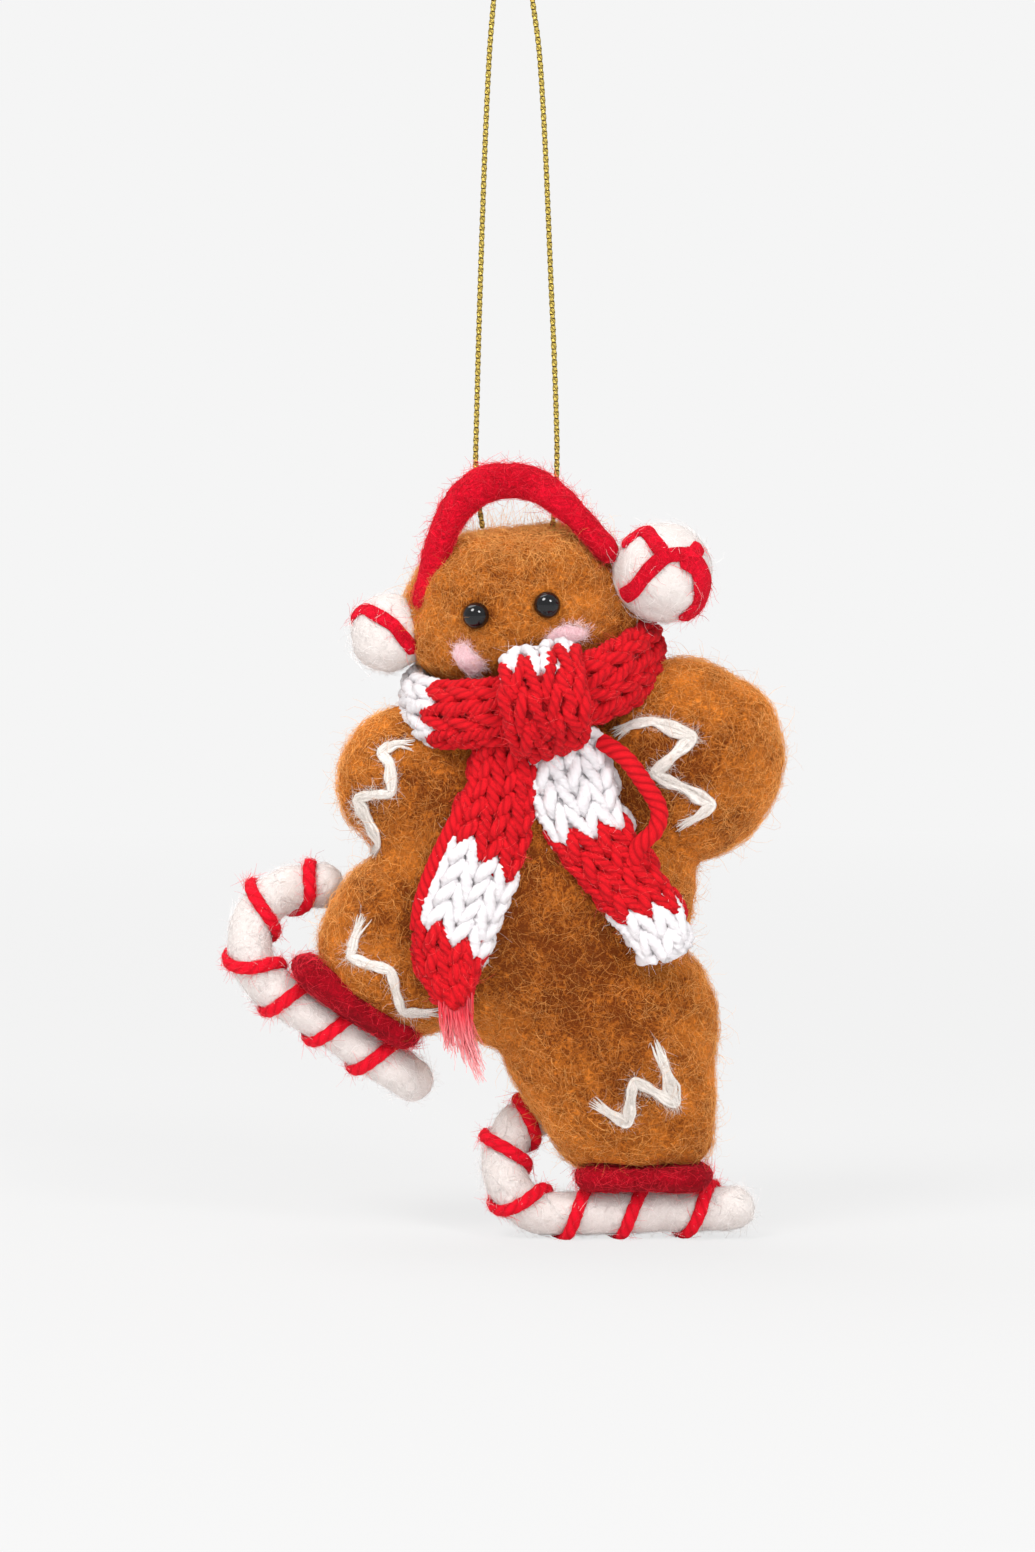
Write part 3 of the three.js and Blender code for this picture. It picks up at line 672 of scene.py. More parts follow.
def knit_backing():
    """Fluffy cloth that is red or white by its row."""
    found = bpy.data.materials.get("knit backing")
    if found:
        return found
    s = bpy.context.scene.scarf_settings
    material, tree, shader = blank_material("knit backing", 0.95, 0.1)
    fluff = remap(tree, noise(tree, object_place(tree), 2200, 3, 0.6, 1.0), 0.3, 0.7)
    red = mix_colour(tree, fluff, tuple(c * 0.25 for c in s.red), tuple(c * 0.6 for c in s.red))
    white = mix_colour(tree, fluff, tuple(c * 0.72 for c in s.white), tuple(c * 0.95 for c in s.white))
    tree.links.new(mix_colour(tree, attribute(tree, "kind"), red, white), shader.inputs["Base Color"])
    bumped(tree, shader, fluff, 0.0002)
    return material


def frayed_yarn(top):
    """Yarn that pales below the height of its top."""
    material, tree, shader = blank_material("frayed yarn", 0.8, 0.06, (1, 0.7, 0.7))
    split = node(tree, "ShaderNodeSeparateXYZ")
    tree.links.new(object_place(tree), split.inputs[0])
    worn = remap(tree, split.outputs["Z"], top - 0.003, top - 0.012, 0, 0.7)
    share = plus(tree, worn, times(tree, attribute(tree, "kind"), 0.22), clamp=True)
    pale = mix_colour(tree, share, (0.62, 0.02, 0.04), (0.88, 0.46, 0.47))
    tree.links.new(pale, shader.inputs["Base Color"])
    return material


def metallic_cord():
    """Metallic thread with dark flecks woven in, and painted shade in the groove between its plies."""
    s = bpy.context.scene.cord_settings
    material, tree, shader = blank_material("metallic cord", 0.36)
    split = node(tree, "ShaderNodeSeparateXYZ")
    tree.links.new(yarn_map(tree), split.inputs[0])
    side = math_node(tree, "SINE", times(tree, split.outputs["X"], 2 * math.pi))
    weave = math_node(tree, "SINE", times(tree, split.outputs["Y"], 2 * math.pi * 15))
    fleck = remap(tree, times(tree, side, weave), 0.22, 0.62)
    grain = remap(tree, noise(tree, object_place(tree), 5200, 2), 0.35, 0.65, 0.55, 1.0)
    # Painted shade: the groove between the plies turns dark and less metallic.
    groove = math_node(tree, "POWER", attribute(tree, "valley"), 2.2)
    dark = larger(tree, fleck, groove, clamp=True)
    gold = mix_colour(tree, grain, tuple(c * 0.55 for c in s.gold), tuple(s.gold))
    tree.links.new(mix_colour(tree, dark, gold, tuple(s.dark)), shader.inputs["Base Color"])
    tree.links.new(times(tree, minus(tree, 1.0, dark), 0.75), shader.inputs["Metallic"])
    bumped(tree, shader, grain, 0.00008)
    return material


def black_bead():
    """Black glass with a little dust."""
    material, tree, shader = blank_material("black bead", 0.05)
    shader.inputs["Specular IOR Level"].default_value = 0.5
    dust = remap(tree, noise(tree, object_place(tree), 2400, 4, 0.7), 0.55, 0.8)
    black = mix_colour(tree, dust, (0.003, 0.003, 0.004), (0.012, 0.011, 0.011))
    tree.links.new(black, shader.inputs["Base Color"])
    tree.links.new(remap(tree, dust, 0, 1, 0.035, 0.16), shader.inputs["Roughness"])
    return material


def steel_wire():
    material, tree, shader = blank_material("steel wire", 0.35)
    shader.inputs["Metallic"].default_value = 1.0
    drawn = noise(tree, object_place(tree), 900, 3)
    steel = mix_colour(tree, drawn, (0.28, 0.28, 0.30), (0.42, 0.42, 0.44))
    tree.links.new(steel, shader.inputs["Base Color"])
    return material


def hair_material(name, deep, bright):
    material, tree, shader = blank_material(name, 0.6, 0.2, tuple(min(1.0, 0.2 + c) for c in bright))
    # The shade attribute is each hair's tone, with its painted rim light and painted shade, or the yarn's red
    # or white.
    tree.links.new(mix_colour(tree, attribute(tree, "shade"), deep, bright), shader.inputs["Base Color"])
    return material


# Stage.

VIEW_MIDDLE = Vector((0.00038, -0.004, -0.12708))
VIEW_HEIGHT = 0.2388
SENSOR = 36
FLOOR_REACH = 6.0
FLOOR_GREY = 0.12
GLOW_FROM, GLOW_TO = 0.25, 0.8
LAMPS_AIM = Vector((0, 0, -0.14))


class GINGER_OT_stage(bpy.types.Operator):
    """Sets the camera, the pale floor and the soft studio light"""

    bl_idname = "ginger.stage"
    bl_label = "Stage"

    def execute(self, context):
        s = context.scene.stage_settings
        self.camera(s)
        self.floor(s)
        self.world(s)
        self.lamp("key light", (-0.6, -0.8, 1.1), 0.6, 14.5, (1.0, 0.985, 0.965))
        fill = self.lamp("fill light", (0.35, -1.5, 0.25), 2.2, 12.0, (1.0, 0.99, 0.985))
        fill.visible_glossy = False
        self.lamp("top light", (-0.35, 0.35, 1.0), 0.9, 6.0, (1, 1, 1))
        self.lamp("glint light", (0.42, -0.72, 0.55), 0.28, 4.0, (1, 1, 1))
        context.scene.view_settings.view_transform = "Standard"
        return {"FINISHED"}

    @staticmethod
    def camera(s):
        data = bpy.data.cameras.new("camera")
        camera = bpy.data.objects.new("camera", data)
        bpy.context.scene.collection.objects.link(camera)
        tilt = s.elevation
        camera.location = VIEW_MIDDLE + Vector((0, -math.cos(tilt), math.sin(tilt))) * s.distance
        camera.rotation_euler = (math.pi / 2 - tilt, 0, 0)
        data.sensor_fit = "VERTICAL"
        data.sensor_height = SENSOR
        data.lens = SENSOR * s.distance / VIEW_HEIGHT
        data.clip_end = 20
        bpy.context.scene.camera = camera

    @staticmethod
    def floor(s):
        """A pale floor that lights the object as it is, and is seen as bright as the background."""
        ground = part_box("cane_standing")[0].z - 0.0009
        sides = (-1, -1), (1, -1), (1, 1), (-1, 1)
        corners = [(x * FLOOR_REACH, y * FLOOR_REACH, ground) for x, y in sides]
        floor = new_piece("floor", corners, [(0, 1, 2, 3)])
        material, tree, shader = blank_material("pale floor", 0.85)
        place = object_place(tree)
        soft = remap(tree, noise(tree, place, 3, 2), 0.2, 0.8)
        pale = mix_colour(tree, soft, (0.88, 0.88, 0.88), (0.885, 0.885, 0.885))
        ray = node(tree, "ShaderNodeLightPath").outputs
        seen = larger(tree, ray["Is Camera Ray"], ray["Is Glossy Ray"])
        away = node(tree, "ShaderNodeVectorMath", operation="DISTANCE")
        tree.links.new(place, away.inputs[0])
        away.inputs[1].default_value = (0, 0, ground)
        near = remap(tree, away.outputs["Value"], GLOW_FROM, GLOW_TO, 1.0, 0.0)
        shaded = mix_colour(tree, near, (0.0, 0.0, 0.0), (FLOOR_GREY, FLOOR_GREY, FLOOR_GREY))
        tree.links.new(mix_colour(tree, seen, pale, shaded), shader.inputs["Base Color"])
        shader.inputs["Emission Color"].default_value = (1, 1, 1, 1)
        shader.inputs["Specular IOR Level"].default_value = 0.0
        lit = times(tree, near, s.floor_light + FLOOR_GREY * s.world)
        glow = minus(tree, s.backdrop, lit)
        tree.links.new(times(tree, seen, glow), shader.inputs["Emission Strength"])
        set_material(floor, material)

    @staticmethod
    def world(s):
        """Even light all round, seen by the camera as the pale background."""
        world = bpy.context.scene.world or bpy.data.worlds.new("studio")
        bpy.context.scene.world = world
        world.use_nodes = True
        tree = world.node_tree
        back = tree.nodes["Background"]
        back.inputs["Color"].default_value = (1, 1, 1, 1)
        sight = node(tree, "ShaderNodeLightPath").outputs["Is Camera Ray"]
        tree.links.new(remap(tree, sight, 0, 1, s.world, s.backdrop), back.inputs["Strength"])

    @staticmethod
    def lamp(name, place, size, power, colour):
        data = bpy.data.lights.new(name, "AREA")
        data.shape = "DISK"
        data.size = size
        data.energy = power
        data.color = colour
        lamp = bpy.data.objects.new(name, data)
        bpy.context.scene.collection.objects.link(lamp)
        lamp.location = Vector(place) + LAMPS_AIM
        lamp.rotation_euler = (LAMPS_AIM - lamp.location).to_track_quat("-Z", "Y").to_euler()
        return lamp


# Cord.

CORD_ROUTE = [
    (-0.0568, 1.0119), (-0.0659, 0.9489), (-0.0687, 0.892), (-0.0675, 0.8295), (-0.0642, 0.7045),
    (-0.0608, 0.5909), (-0.0562, 0.4545), (-0.0511, 0.3182), (-0.0443, 0.1818), (-0.0364, 0.0852),
    (-0.033, 0.0386), (-0.0239, 0.008), (0, -0.0051), (0.0216, 0.008), (0.029, 0.0386),
    (0.0295, 0.0852), (0.042, 0.1818), (0.0511, 0.3182), (0.0574, 0.4545), (0.0631, 0.5909),
    (0.0682, 0.7045), (0.0725, 0.8295), (0.0733, 0.892), (0.0716, 0.9489), (0.0655, 1.0119),
]


class GINGER_OT_cord(bpy.types.Operator):
    """Twists the metallic cord from one side of the crown, over the hanging point, to the other"""

    bl_idname = "ginger.cord"
    bl_label = "Hanging cord"

    def execute(self, context):
        s = context.scene.cord_settings
        line = Line([(x * CROWN_DROP, 0, -z * CROWN_DROP) for x, z in CORD_ROUTE])
        points = line.even(0.00017)
        cord = tube_piece("hanging_cord", points, FRONT, s.diameter / 2, 12, 2, s.twist, 0.3)
        material = metallic_cord()
        set_material(cord, material)
        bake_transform(cord)
        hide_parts("loop_cord", "loop_leg_left", "loop_leg_right")
        for name in ("cord_knot_left", "cord_knot_right"):
            set_material(frame["nodes"][name], material)
        return {"FINISHED"}


# Felt.


def inside_share(points, normals, near=0.0055, deep=0.0135):
    """How far points lie inside the outline seen from the front, from 0 to 1; it sets the painted shade in
    the middle of the body.
    """
    flat = points[:, [0, 2]]
    rim = flat[np.abs(normals[:, 1]) < 0.25]
    nearest = np.full(len(points), 1.0)
    for place in rim[:: max(1, len(rim) // 500)]:
        nearest = np.minimum(nearest, np.linalg.norm(flat - place, axis=1))
    return np.clip((nearest - near) / (deep - near), 0, 1)


def merged_copy(name, source, grow):
    """A copy of a CAD solid with its corners merged, grown outwards."""
    copy = bpy.data.objects.new(name, frame["nodes"][source].data.copy())
    bpy.context.scene.collection.objects.link(copy)
    edit_whole(copy, bpy.ops.mesh.remove_doubles, threshold=0.00001)
    apply_modifier(copy, "DISPLACE", strength=grow, mid_level=0.0)
    return copy


def pushed(points, pushes):
    """Points moved round each push's centre, less and less up to its reach, all in millimetres."""
    for centre, reach, move in pushes:
        away = np.linalg.norm((points - mm(centre)) * [1, 0.6, 1], axis=1) / (reach * MM)
        share = np.clip(1 - away, 0, 1)
        points = points + (share * share * (3 - 2 * share))[:, None] * mm(move)
    return points


def felted(name, nodes, voxel, grow, smooth, lumps, seed, pushes=(), darker=False):
    """One felted body from copies of CAD solids, joined, evened out and lumped by the needle."""
    copies = [merged_copy(name + "_" + one, one, grow) for one in nodes]
    body = copies[0]
    pick(body)
    for copy in copies:
        copy.select_set(True)
    if len(copies) > 1:
        bpy.ops.object.join()
    body.name = name
    body.data.name = name
    apply_modifier(body, "REMESH", mode="VOXEL", voxel_size=voxel, use_smooth_shade=True)
    apply_modifier(body, "SMOOTH", factor=0.5, iterations=smooth)
    set_points(body, pushed(points_of(body), pushes))
    apply_modifier(body, "SUBSURF", levels=1, render_levels=1)
    layers = (1, 0.013, seed, 5), (0.55, 0.006, seed + 1, 7), (0.3, 0.0026, seed + 2, 9)
    points, normals = lump(body, lumps, *layers)
    # The edge attribute drives painted rim light, and the middle attribute painted shade in the body's
    # middle.
    add_attribute(body, "edge", np.clip(1.25 * (1 - np.abs(normals[:, 1])), 0, 1) ** 1.5)
    add_attribute(body, "middle", inside_share(points, normals) if darker else np.zeros(len(points)))
    pick(body)
    bpy.ops.object.shade_smooth()
    return body


class GINGER_OT_body(bpy.types.Operator):
    """Felts the torso, arms and legs as one stuffed body"""

    bl_idname = "ginger.body"
    bl_label = "Felt body"

    def execute(self, context):
        s = context.scene.felt_settings
        nodes = ["torso", "arm_left", "arm_right", "leg_standing", "leg_raised"]
        trims = [((32.0, 0, -171.0), 15, (-1.4, 0, 0)), ((28.6, 0, -186.0), 9, (0.5, 0, -2.6))]
        # Only the body gets painted shade in its middle.
        body = felted("gingerbread_body", nodes, 0.0010, 0.0006, 12, s.lumps, 11, trims, darker=True)
        finished(body, felt_brown(), replaced=nodes)
        return {"FINISHED"}


class GINGER_OT_head(bpy.types.Operator):
    """Felts the head"""

    bl_idname = "ginger.head"
    bl_label = "Felt head"

    def execute(self, context):
        s = context.scene.felt_settings
        crown = [((-0.5, 0, -89.0), 16, (0, 0, -1.6))]
        head = felted("gingerbread_head", ["head"], 0.0008, 0.0003, 10, s.lumps * 0.8, 31, crown)
        finished(head, felt_brown(), replaced=["head"])
        return {"FINISHED"}


# Face.


class GINGER_OT_eyes(bpy.types.Operator):
    """Sets two glossy black beads in the head"""

    bl_idname = "ginger.eyes"
    bl_label = "Bead eyes"

    def execute(self, context):
        material = black_bead()
        for side in ("left", "right"):
            low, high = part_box("eye_" + side)
            width = high.x - low.x
            deselect()
            bpy.ops.mesh.primitive_uv_sphere_add(segments=48, ring_count=24, radius=width / 2)
            eye = bpy.context.object
            eye.name = "bead_eye_" + side
            points = points_of(eye)
            points[:, 2] *= 1 - 0.03 * (np.abs(points[:, 2]) / width * 2) ** 6
            turned = points[:, [0, 2, 1]] * [1, -1, 1]
            set_points(eye, turned + np.array((low + high) / 2))
            bpy.ops.object.shade_smooth()
            finished(eye, material, replaced=["eye_" + side])
        return {"FINISHED"}


def surface_of(*objects):
    """A search tree over the surfaces of objects."""
    points, faces, count = [], [], 0
    for obj in objects:
        points.append(points_of(obj))
        faces.append(triangles_of(obj) + count)
        count += len(points[-1])
    return BVHTree.FromPolygons(np.vstack(points).tolist(), np.vstack(faces).tolist())


def laid_on(points, tree, lift=0.0):
    """Points moved straight back onto what lies behind them, or to its nearest part, then lifted off."""
    out, away = [], []
    for p in points:
        hit, normal, _, _ = tree.ray_cast(Vector((p[0], -0.06, p[2])), Vector((0, 1, 0)))
        if hit is None:
            hit, normal, _, _ = tree.find_nearest(Vector((p[0], 0.0, p[2])))
        out.append(np.array(hit) + np.array(normal) * lift)
        away.append(np.array(normal))
    return np.array(out), np.array(away)


def softened(points, rounds=2):
    """Points drawn towards their neighbours along a row, with both ends held."""
    out = np.array(points, float)
    for _ in range(rounds):
        out[1:-1] = (out[:-2] + 2 * out[1:-1] + out[2:]) / 4
    return out


def rounded_end(run, length, radius):
    """A radius at each place along a rod, drawn in at both ends."""
    reach = np.minimum(run, length - run) / radius
    return radius * (1 - np.clip(1 - reach, 0, 1) ** 2.0) ** 0.5 + THINNEST_END


def felt_rod(name, line, radius, seed, sides, lumps, shape=None):
    """A rolled felt rod along a line, with rounded ends and lumps."""
    points = line.even(0.0004)
    run = np.linspace(0, line.length, len(points))
    size = rounded_end(run, line.length, radius)
    if shape is not None:
        size = size * row_value(shape, run / line.length)
    rod = tube_piece(name, points, FRONT, size, sides)
    lump(rod, lumps, (1, 0.006, seed, 5), (0.5, 0.0022, seed + 5, 8))
    return rod


# Knitting.

STITCHES = 3
LOOP_POINTS = 26
YARN_SIDES, YARN_PLIES = 16, 4


def knit(place, stitch, row, yarn, kinds, seed):
    """Stocking stitch worked over a surface. place turns across, along and out into points, with along
    from the first row to the last, and kinds gives each row's colour. Each stripe is one yarn."""
    rng = np.random.RandomState(seed)
    bundle = Bundle()
    rows, width = len(kinds), STITCHES * stitch
    loop, lean, depth = row * 0.86, stitch * 0.27, yarn * 0.31
    start = 0
    while start < rows:
        end = start
        while end < rows and kinds[end] == kinds[start]:
            end += 1
        path = []
        for r in range(start, end):
            t = np.linspace(-math.pi, (2 * STITCHES - 1) * math.pi, STITCHES * LOOP_POINTS)
            x = stitch * t / 2 / math.pi + lean * np.sin(2 * t) - width / 2 + stitch / 2
            y = row * (r + 0.5) + loop * np.cos(t) * (1 + 0.07 * np.sin(t * 0.5 + rng.uniform(0, 6)))
            z = -depth * np.cos(2 * t)
            edge = np.clip(1 - (width / 2 - np.abs(x)) / (stitch * 0.4), 0, 1)
            z = z - edge * yarn * 0.25
            x = x + stitch * 0.05 * np.sin(t * 0.37 + rng.uniform(0, 6))
            line = np.stack([x, y, z], 1)
            if (r - start) % 2:
                line = line[::-1]
            if path:
                side = np.sign(line[0, 0])
                a, b = path[-1][-1], line[0]
                turn = np.linspace(0, 1, 7)[1:-1, None]
                bow = np.sin(turn[:, 0] * math.pi) * yarn * 0.35 * side
                path.append(a * (1 - turn) + b * turn + np.stack([bow, 0 * bow, 0 * bow], 1))
            path.append(line)
        flat = np.vstack(path)
        points = place(flat[:, 0], flat[:, 1], flat[:, 2])
        lifted = place(flat[:, 0], flat[:, 1], flat[:, 2] + 0.0004)
        points = softened(points)
        size = yarn / 2 * (1 + 0.06 * np.sin(np.arange(len(points)) * 0.21 + rng.uniform(0, 6)))
        made = tube(points, unit(lifted - points), size, YARN_SIDES, YARN_PLIES, yarn * 2.7, 0.13)
        bundle.add(made, kinds[start])
        start = end
    return bundle


def backing(name, place, width, row, kinds, depth, closed):
    """The thin cloth behind the stitches, which closes the gaps between them."""
    length = len(kinds) * row
    across, along = 13, max(6, int(length / 0.0011))
    x, y = np.meshgrid(np.linspace(-width / 2, width / 2, across), np.linspace(0, length, along))
    points = place(x.ravel(), y.ravel(), np.full(x.size, -depth))
    r, c = np.meshgrid(np.arange(along - 1), np.arange(across - 1), indexing="ij")
    a = (r * across + c).ravel()
    faces = np.stack([a, a + 1, a + across + 1, a + across], 1)
    y = y.ravel()
    if closed:
        last = len(points) - across
        faces = np.where(faces >= last, faces - last, faces)
        points, y = points[:last], y[:last]
    cloth = new_piece(name, points, faces)
    add_attribute(cloth, "kind", kinds[np.clip((y / row).astype(int), 0, len(kinds) - 1)])
    apply_modifier(cloth, "SOLIDIFY", thickness=0.0006, offset=0.0)
    return cloth


def scarf_piece(name, place, stitch, row, kinds, seed, node_name, body="figure", zone=None, closed=False):
    """One knitted length of the scarf: its stitches, and the cloth behind them."""
    yarn = bpy.context.scene.scarf_settings.yarn
    width, length = STITCHES * stitch, len(kinds) * row
    stitches = knit(place, stitch, row, yarn, kinds, seed).piece(name)
    cloth = backing(name + "_backing", place, width * 0.94, row, kinds, yarn * 0.12, closed)
    rides = None if zone else body
    finished(stitches, scarf_yarn(), rides, [node_name], cover=True)
    finished(cloth, knit_backing(), rides, cover=True)
    if zone:
        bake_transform(stitches)
        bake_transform(cloth)


def filling(name, points, outward, radius, flat, kinds):
    """The folded cloth that fills a knitted length behind its stitches."""
    kind = np.append(np.repeat(kinds, 24), [kinds[0], kinds[-1]])
    fill = tube_piece(name, points, outward, radius, 24, flat=flat, kind=kind)
    finished(fill, knit_backing(), cover=True)


COLLAR_CENTRE = spot([0.036, 0.247])[0]
COLLAR_ACROSS, COLLAR_DEEP, COLLAR_RISE, COLLAR_SAG = 0.0335, 0.0265, 0.0078, 0.0034
COLLAR_HALF_HIGH, COLLAR_HALF_THICK = 0.0046, 0.0024
COLLAR_STITCH = 0.0041
COLLAR_FOLD = 0.0041
COLLAR_SWELL = [0.94, 1.12, 1.14, 1.0, 1.0, 1.0, 1.0, 1.0, 0.94]
COLLAR_WHITE = (0.30, 0.47), (0.69, 0.845)


def collar_line():
    turn = np.linspace(0, 2 * math.pi, 28, endpoint=False) - math.pi / 2
    across, back = np.cos(turn), np.sin(turn)
    rise = COLLAR_RISE * across / 2 + COLLAR_SAG * back
    ring = np.stack([COLLAR_ACROSS * across / 2, COLLAR_DEEP * back / 2, rise], 1)
    return Line(ring + COLLAR_CENTRE, closed=True)


def collar_place(line):
    """Lays cloth over the outer side of the flat ring round the neck."""

    def place(x, y, z):
        centre = line.place(y)
        along = line.tangent(y)
        out = unit(np.cross(along, UP))
        over = unit(np.cross(out, along))
        swell = row_value(COLLAR_SWELL, y / line.length % 1)[:, None]
        turn = x / (COLLAR_HALF_HIGH * 0.5 + COLLAR_HALF_THICK * 0.5) * 0.8
        edge, side = np.cos(turn)[:, None], np.sin(turn)[:, None]
        face = unit(edge * out * COLLAR_HALF_HIGH + side * over * COLLAR_HALF_THICK)
        reach = out * COLLAR_HALF_THICK * edge + over * COLLAR_HALF_HIGH * side
        return centre + reach * swell + face * z[:, None]

    return place


class GINGER_OT_collar(bpy.types.Operator):
    """Knits the scarf round the neck, in red and white stripes"""

    bl_idname = "ginger.collar"
    bl_label = "Scarf collar"

    def execute(self, context):
        line = collar_line()
        rows = int(round(line.length / context.scene.scarf_settings.row))
        share = (np.arange(rows) + 0.5) / rows
        kinds = np.zeros(rows)
        for low, high in COLLAR_WHITE:
            kinds[(share > low) & (share < high)] = 1
        scarf_piece(
            "scarf_round_neck", collar_place(line), COLLAR_STITCH, line.length / rows, kinds, 3,
            "scarf_collar", closed=True,
        )
        points = line.even(0.0006)
        outward = unit(np.cross(unit(np.gradient(points, axis=0)), UP))
        at = np.linspace(0, 1, len(points))
        row_kinds = kinds[np.minimum((at * rows).astype(int), rows - 1)]
        radius = COLLAR_FOLD * row_value(COLLAR_SWELL, at)
        filling("scarf_round_neck_fold", points, outward, radius, 0.5, row_kinds)
        return {"FINISHED"}


KNOT_HALF_WIDE, KNOT_HALF_THICK = 0.0071, 0.0026
KNOT_STITCH = 0.0050
KNOT_FOLD = 0.0062
KNOT_KINDS = np.array([0, 0, 0, 0, 1])


def knot_line():
    """The middle of the fold, from below the crossing up over it, inside the CAD knot's box."""
    low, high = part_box("scarf_knot")
    x, y, z = (low.x + high.x) / 2, low.y + 0.0042, (low.z + high.z) / 2
    return Line([
        (x + 0.0010, y + 0.0052, low.z + 0.0030), (x + 0.0006, y + 0.0012, low.z + 0.0046),
        (x, y - 0.0006, z), (x - 0.0004, y + 0.0008, high.z - 0.0028),
        (x - 0.0006, y + 0.0050, high.z - 0.0014),
    ])


def knot_place(line):
    """Lays cloth over the front of the fold, in a slant and with wavy ends."""

    def place(across, up, out):
        up = up + across * 0.2 - 0.0011 * np.cos(across / 0.0021)
        up = np.clip(up, -0.001, line.length + 0.0006)
        side, front = across_and_front(line.tangent(up))
        turn = across / (KNOT_HALF_WIDE * 0.5 + KNOT_HALF_THICK * 0.5) * 0.66
        edge, over = np.cos(turn)[:, None], np.sin(turn)[:, None]
        face = unit(edge * front * KNOT_HALF_WIDE + over * side * KNOT_HALF_THICK)
        pinch = 1 - 0.06 * np.cos(up / line.length * 2 * math.pi)[:, None]
        reach = front * KNOT_HALF_THICK * edge + side * KNOT_HALF_WIDE * over
        return line.place(up) + reach * pinch + face * out[:, None]

    return place


class GINGER_OT_knot(bpy.types.Operator):
    """Knits the fold of the scarf that passes over its crossing"""

    bl_idname = "ginger.knot"
    bl_label = "Scarf knot"

    def execute(self, context):
        line = knot_line()
        row = line.length / len(KNOT_KINDS)
        scarf_piece("scarf_knot_fold", knot_place(line), KNOT_STITCH, row, KNOT_KINDS, 8, "scarf_knot")
        at = np.linspace(0, line.length, 48)
        front = across_and_front(line.tangent(at))[1]
        white = (at > line.length * 0.86).astype(float)
        radius = rounded_end(at, line.length, KNOT_FOLD)
        filling("scarf_knot_fill", line.place(at), front, radius, 0.36, white)
        return {"FINISHED"}


TAIL_Y = -0.0115

# A tail's line, half width, swell down its length, slant, rows from its foot, seed and fold's place.
TAILS = {
    "left": (
        [
            (-0.018, 0.345), (-0.027, 0.404), (-0.05, 0.467), (-0.079, 0.53), (-0.112, 0.59),
            (-0.14, 0.645), (-0.149, 0.695), (-0.138, 0.748),
        ],
        0.0059, [0.74, 0.8, 0.92, 1.0, 1.02, 1.03, 0.98, 0.74, 0.36], -0.38,
        [0, 0, 0, 1, 1, 1, 1, 0, 0, 0, 0, 0], 21, -0.0031,
    ),
    "right": (
        [
            (0.094, 0.335), (0.126, 0.41), (0.157, 0.466), (0.216, 0.53), (0.271, 0.58),
            (0.316, 0.628), (0.342, 0.672),
        ],
        0.0056, [1.14, 1.16, 1.03, 0.98, 0.9, 0.8, 0.7], -0.33,
        [1, 1, 0, 0, 0, 0, 1, 1, 1, 1], 22, 0.0082,
    ),
}

# A loose strand's line, its place in front and its radius.
STRANDS = {
    "left": (
        [(-0.1, 0.42), (-0.145, 0.475), (-0.186, 0.535), (-0.213, 0.59), (-0.222, 0.632)],
        -0.0118, 0.0011,
    ),
    "right": (
        [
            (0.193, 0.338), (0.247, 0.364), (0.292, 0.405), (0.322, 0.442), (0.315, 0.474),
            (0.279, 0.5), (0.262, 0.528),
        ],
        -0.0136, 0.0014,
    ),
}

# A lock of the frayed end: its share across, its lean and its length.
LOCKS = [
    (-0.85, 0.02, 0.0084), (-0.55, 0.05, 0.0100), (-0.20, 0.08, 0.0092), (0.10, 0.16, 0.0112),
    (0.40, 0.24, 0.0136), (0.65, 0.20, 0.0122), (0.90, 0.06, 0.0086),
]
WISPS, WISP_POINTS = 34, 12


def tail_place(shares, half_wide, swell, slant, stitch):
    """The surface of a hanging tail, with along from its foot up to its fold, and its length."""
    spine = spot(shares)
    spine[:, 1] = TAIL_Y - np.linspace(0, 0.0010, len(spine))
    line = Line(spine[::-1])
    half_cloth = STITCHES * stitch / 2

    def place(x, y, z):
        share = x / half_cloth
        y = np.clip(y + slant * x, -0.002, line.length + 0.001)
        side, front = across_and_front(line.tangent(y))
        wide = half_wide * row_value(swell[::-1], y / line.length)
        reach = wide * share * (1 - 0.17 * share**2) / 0.83
        back = 0.0017 * np.abs(share) ** 3.2
        ripple = 0.0004 * np.sin(y / 0.0062 + share * 2)
        return line.place(y) + side * reach[:, None] + front * (z - back + ripple)[:, None]

    return place, line.length


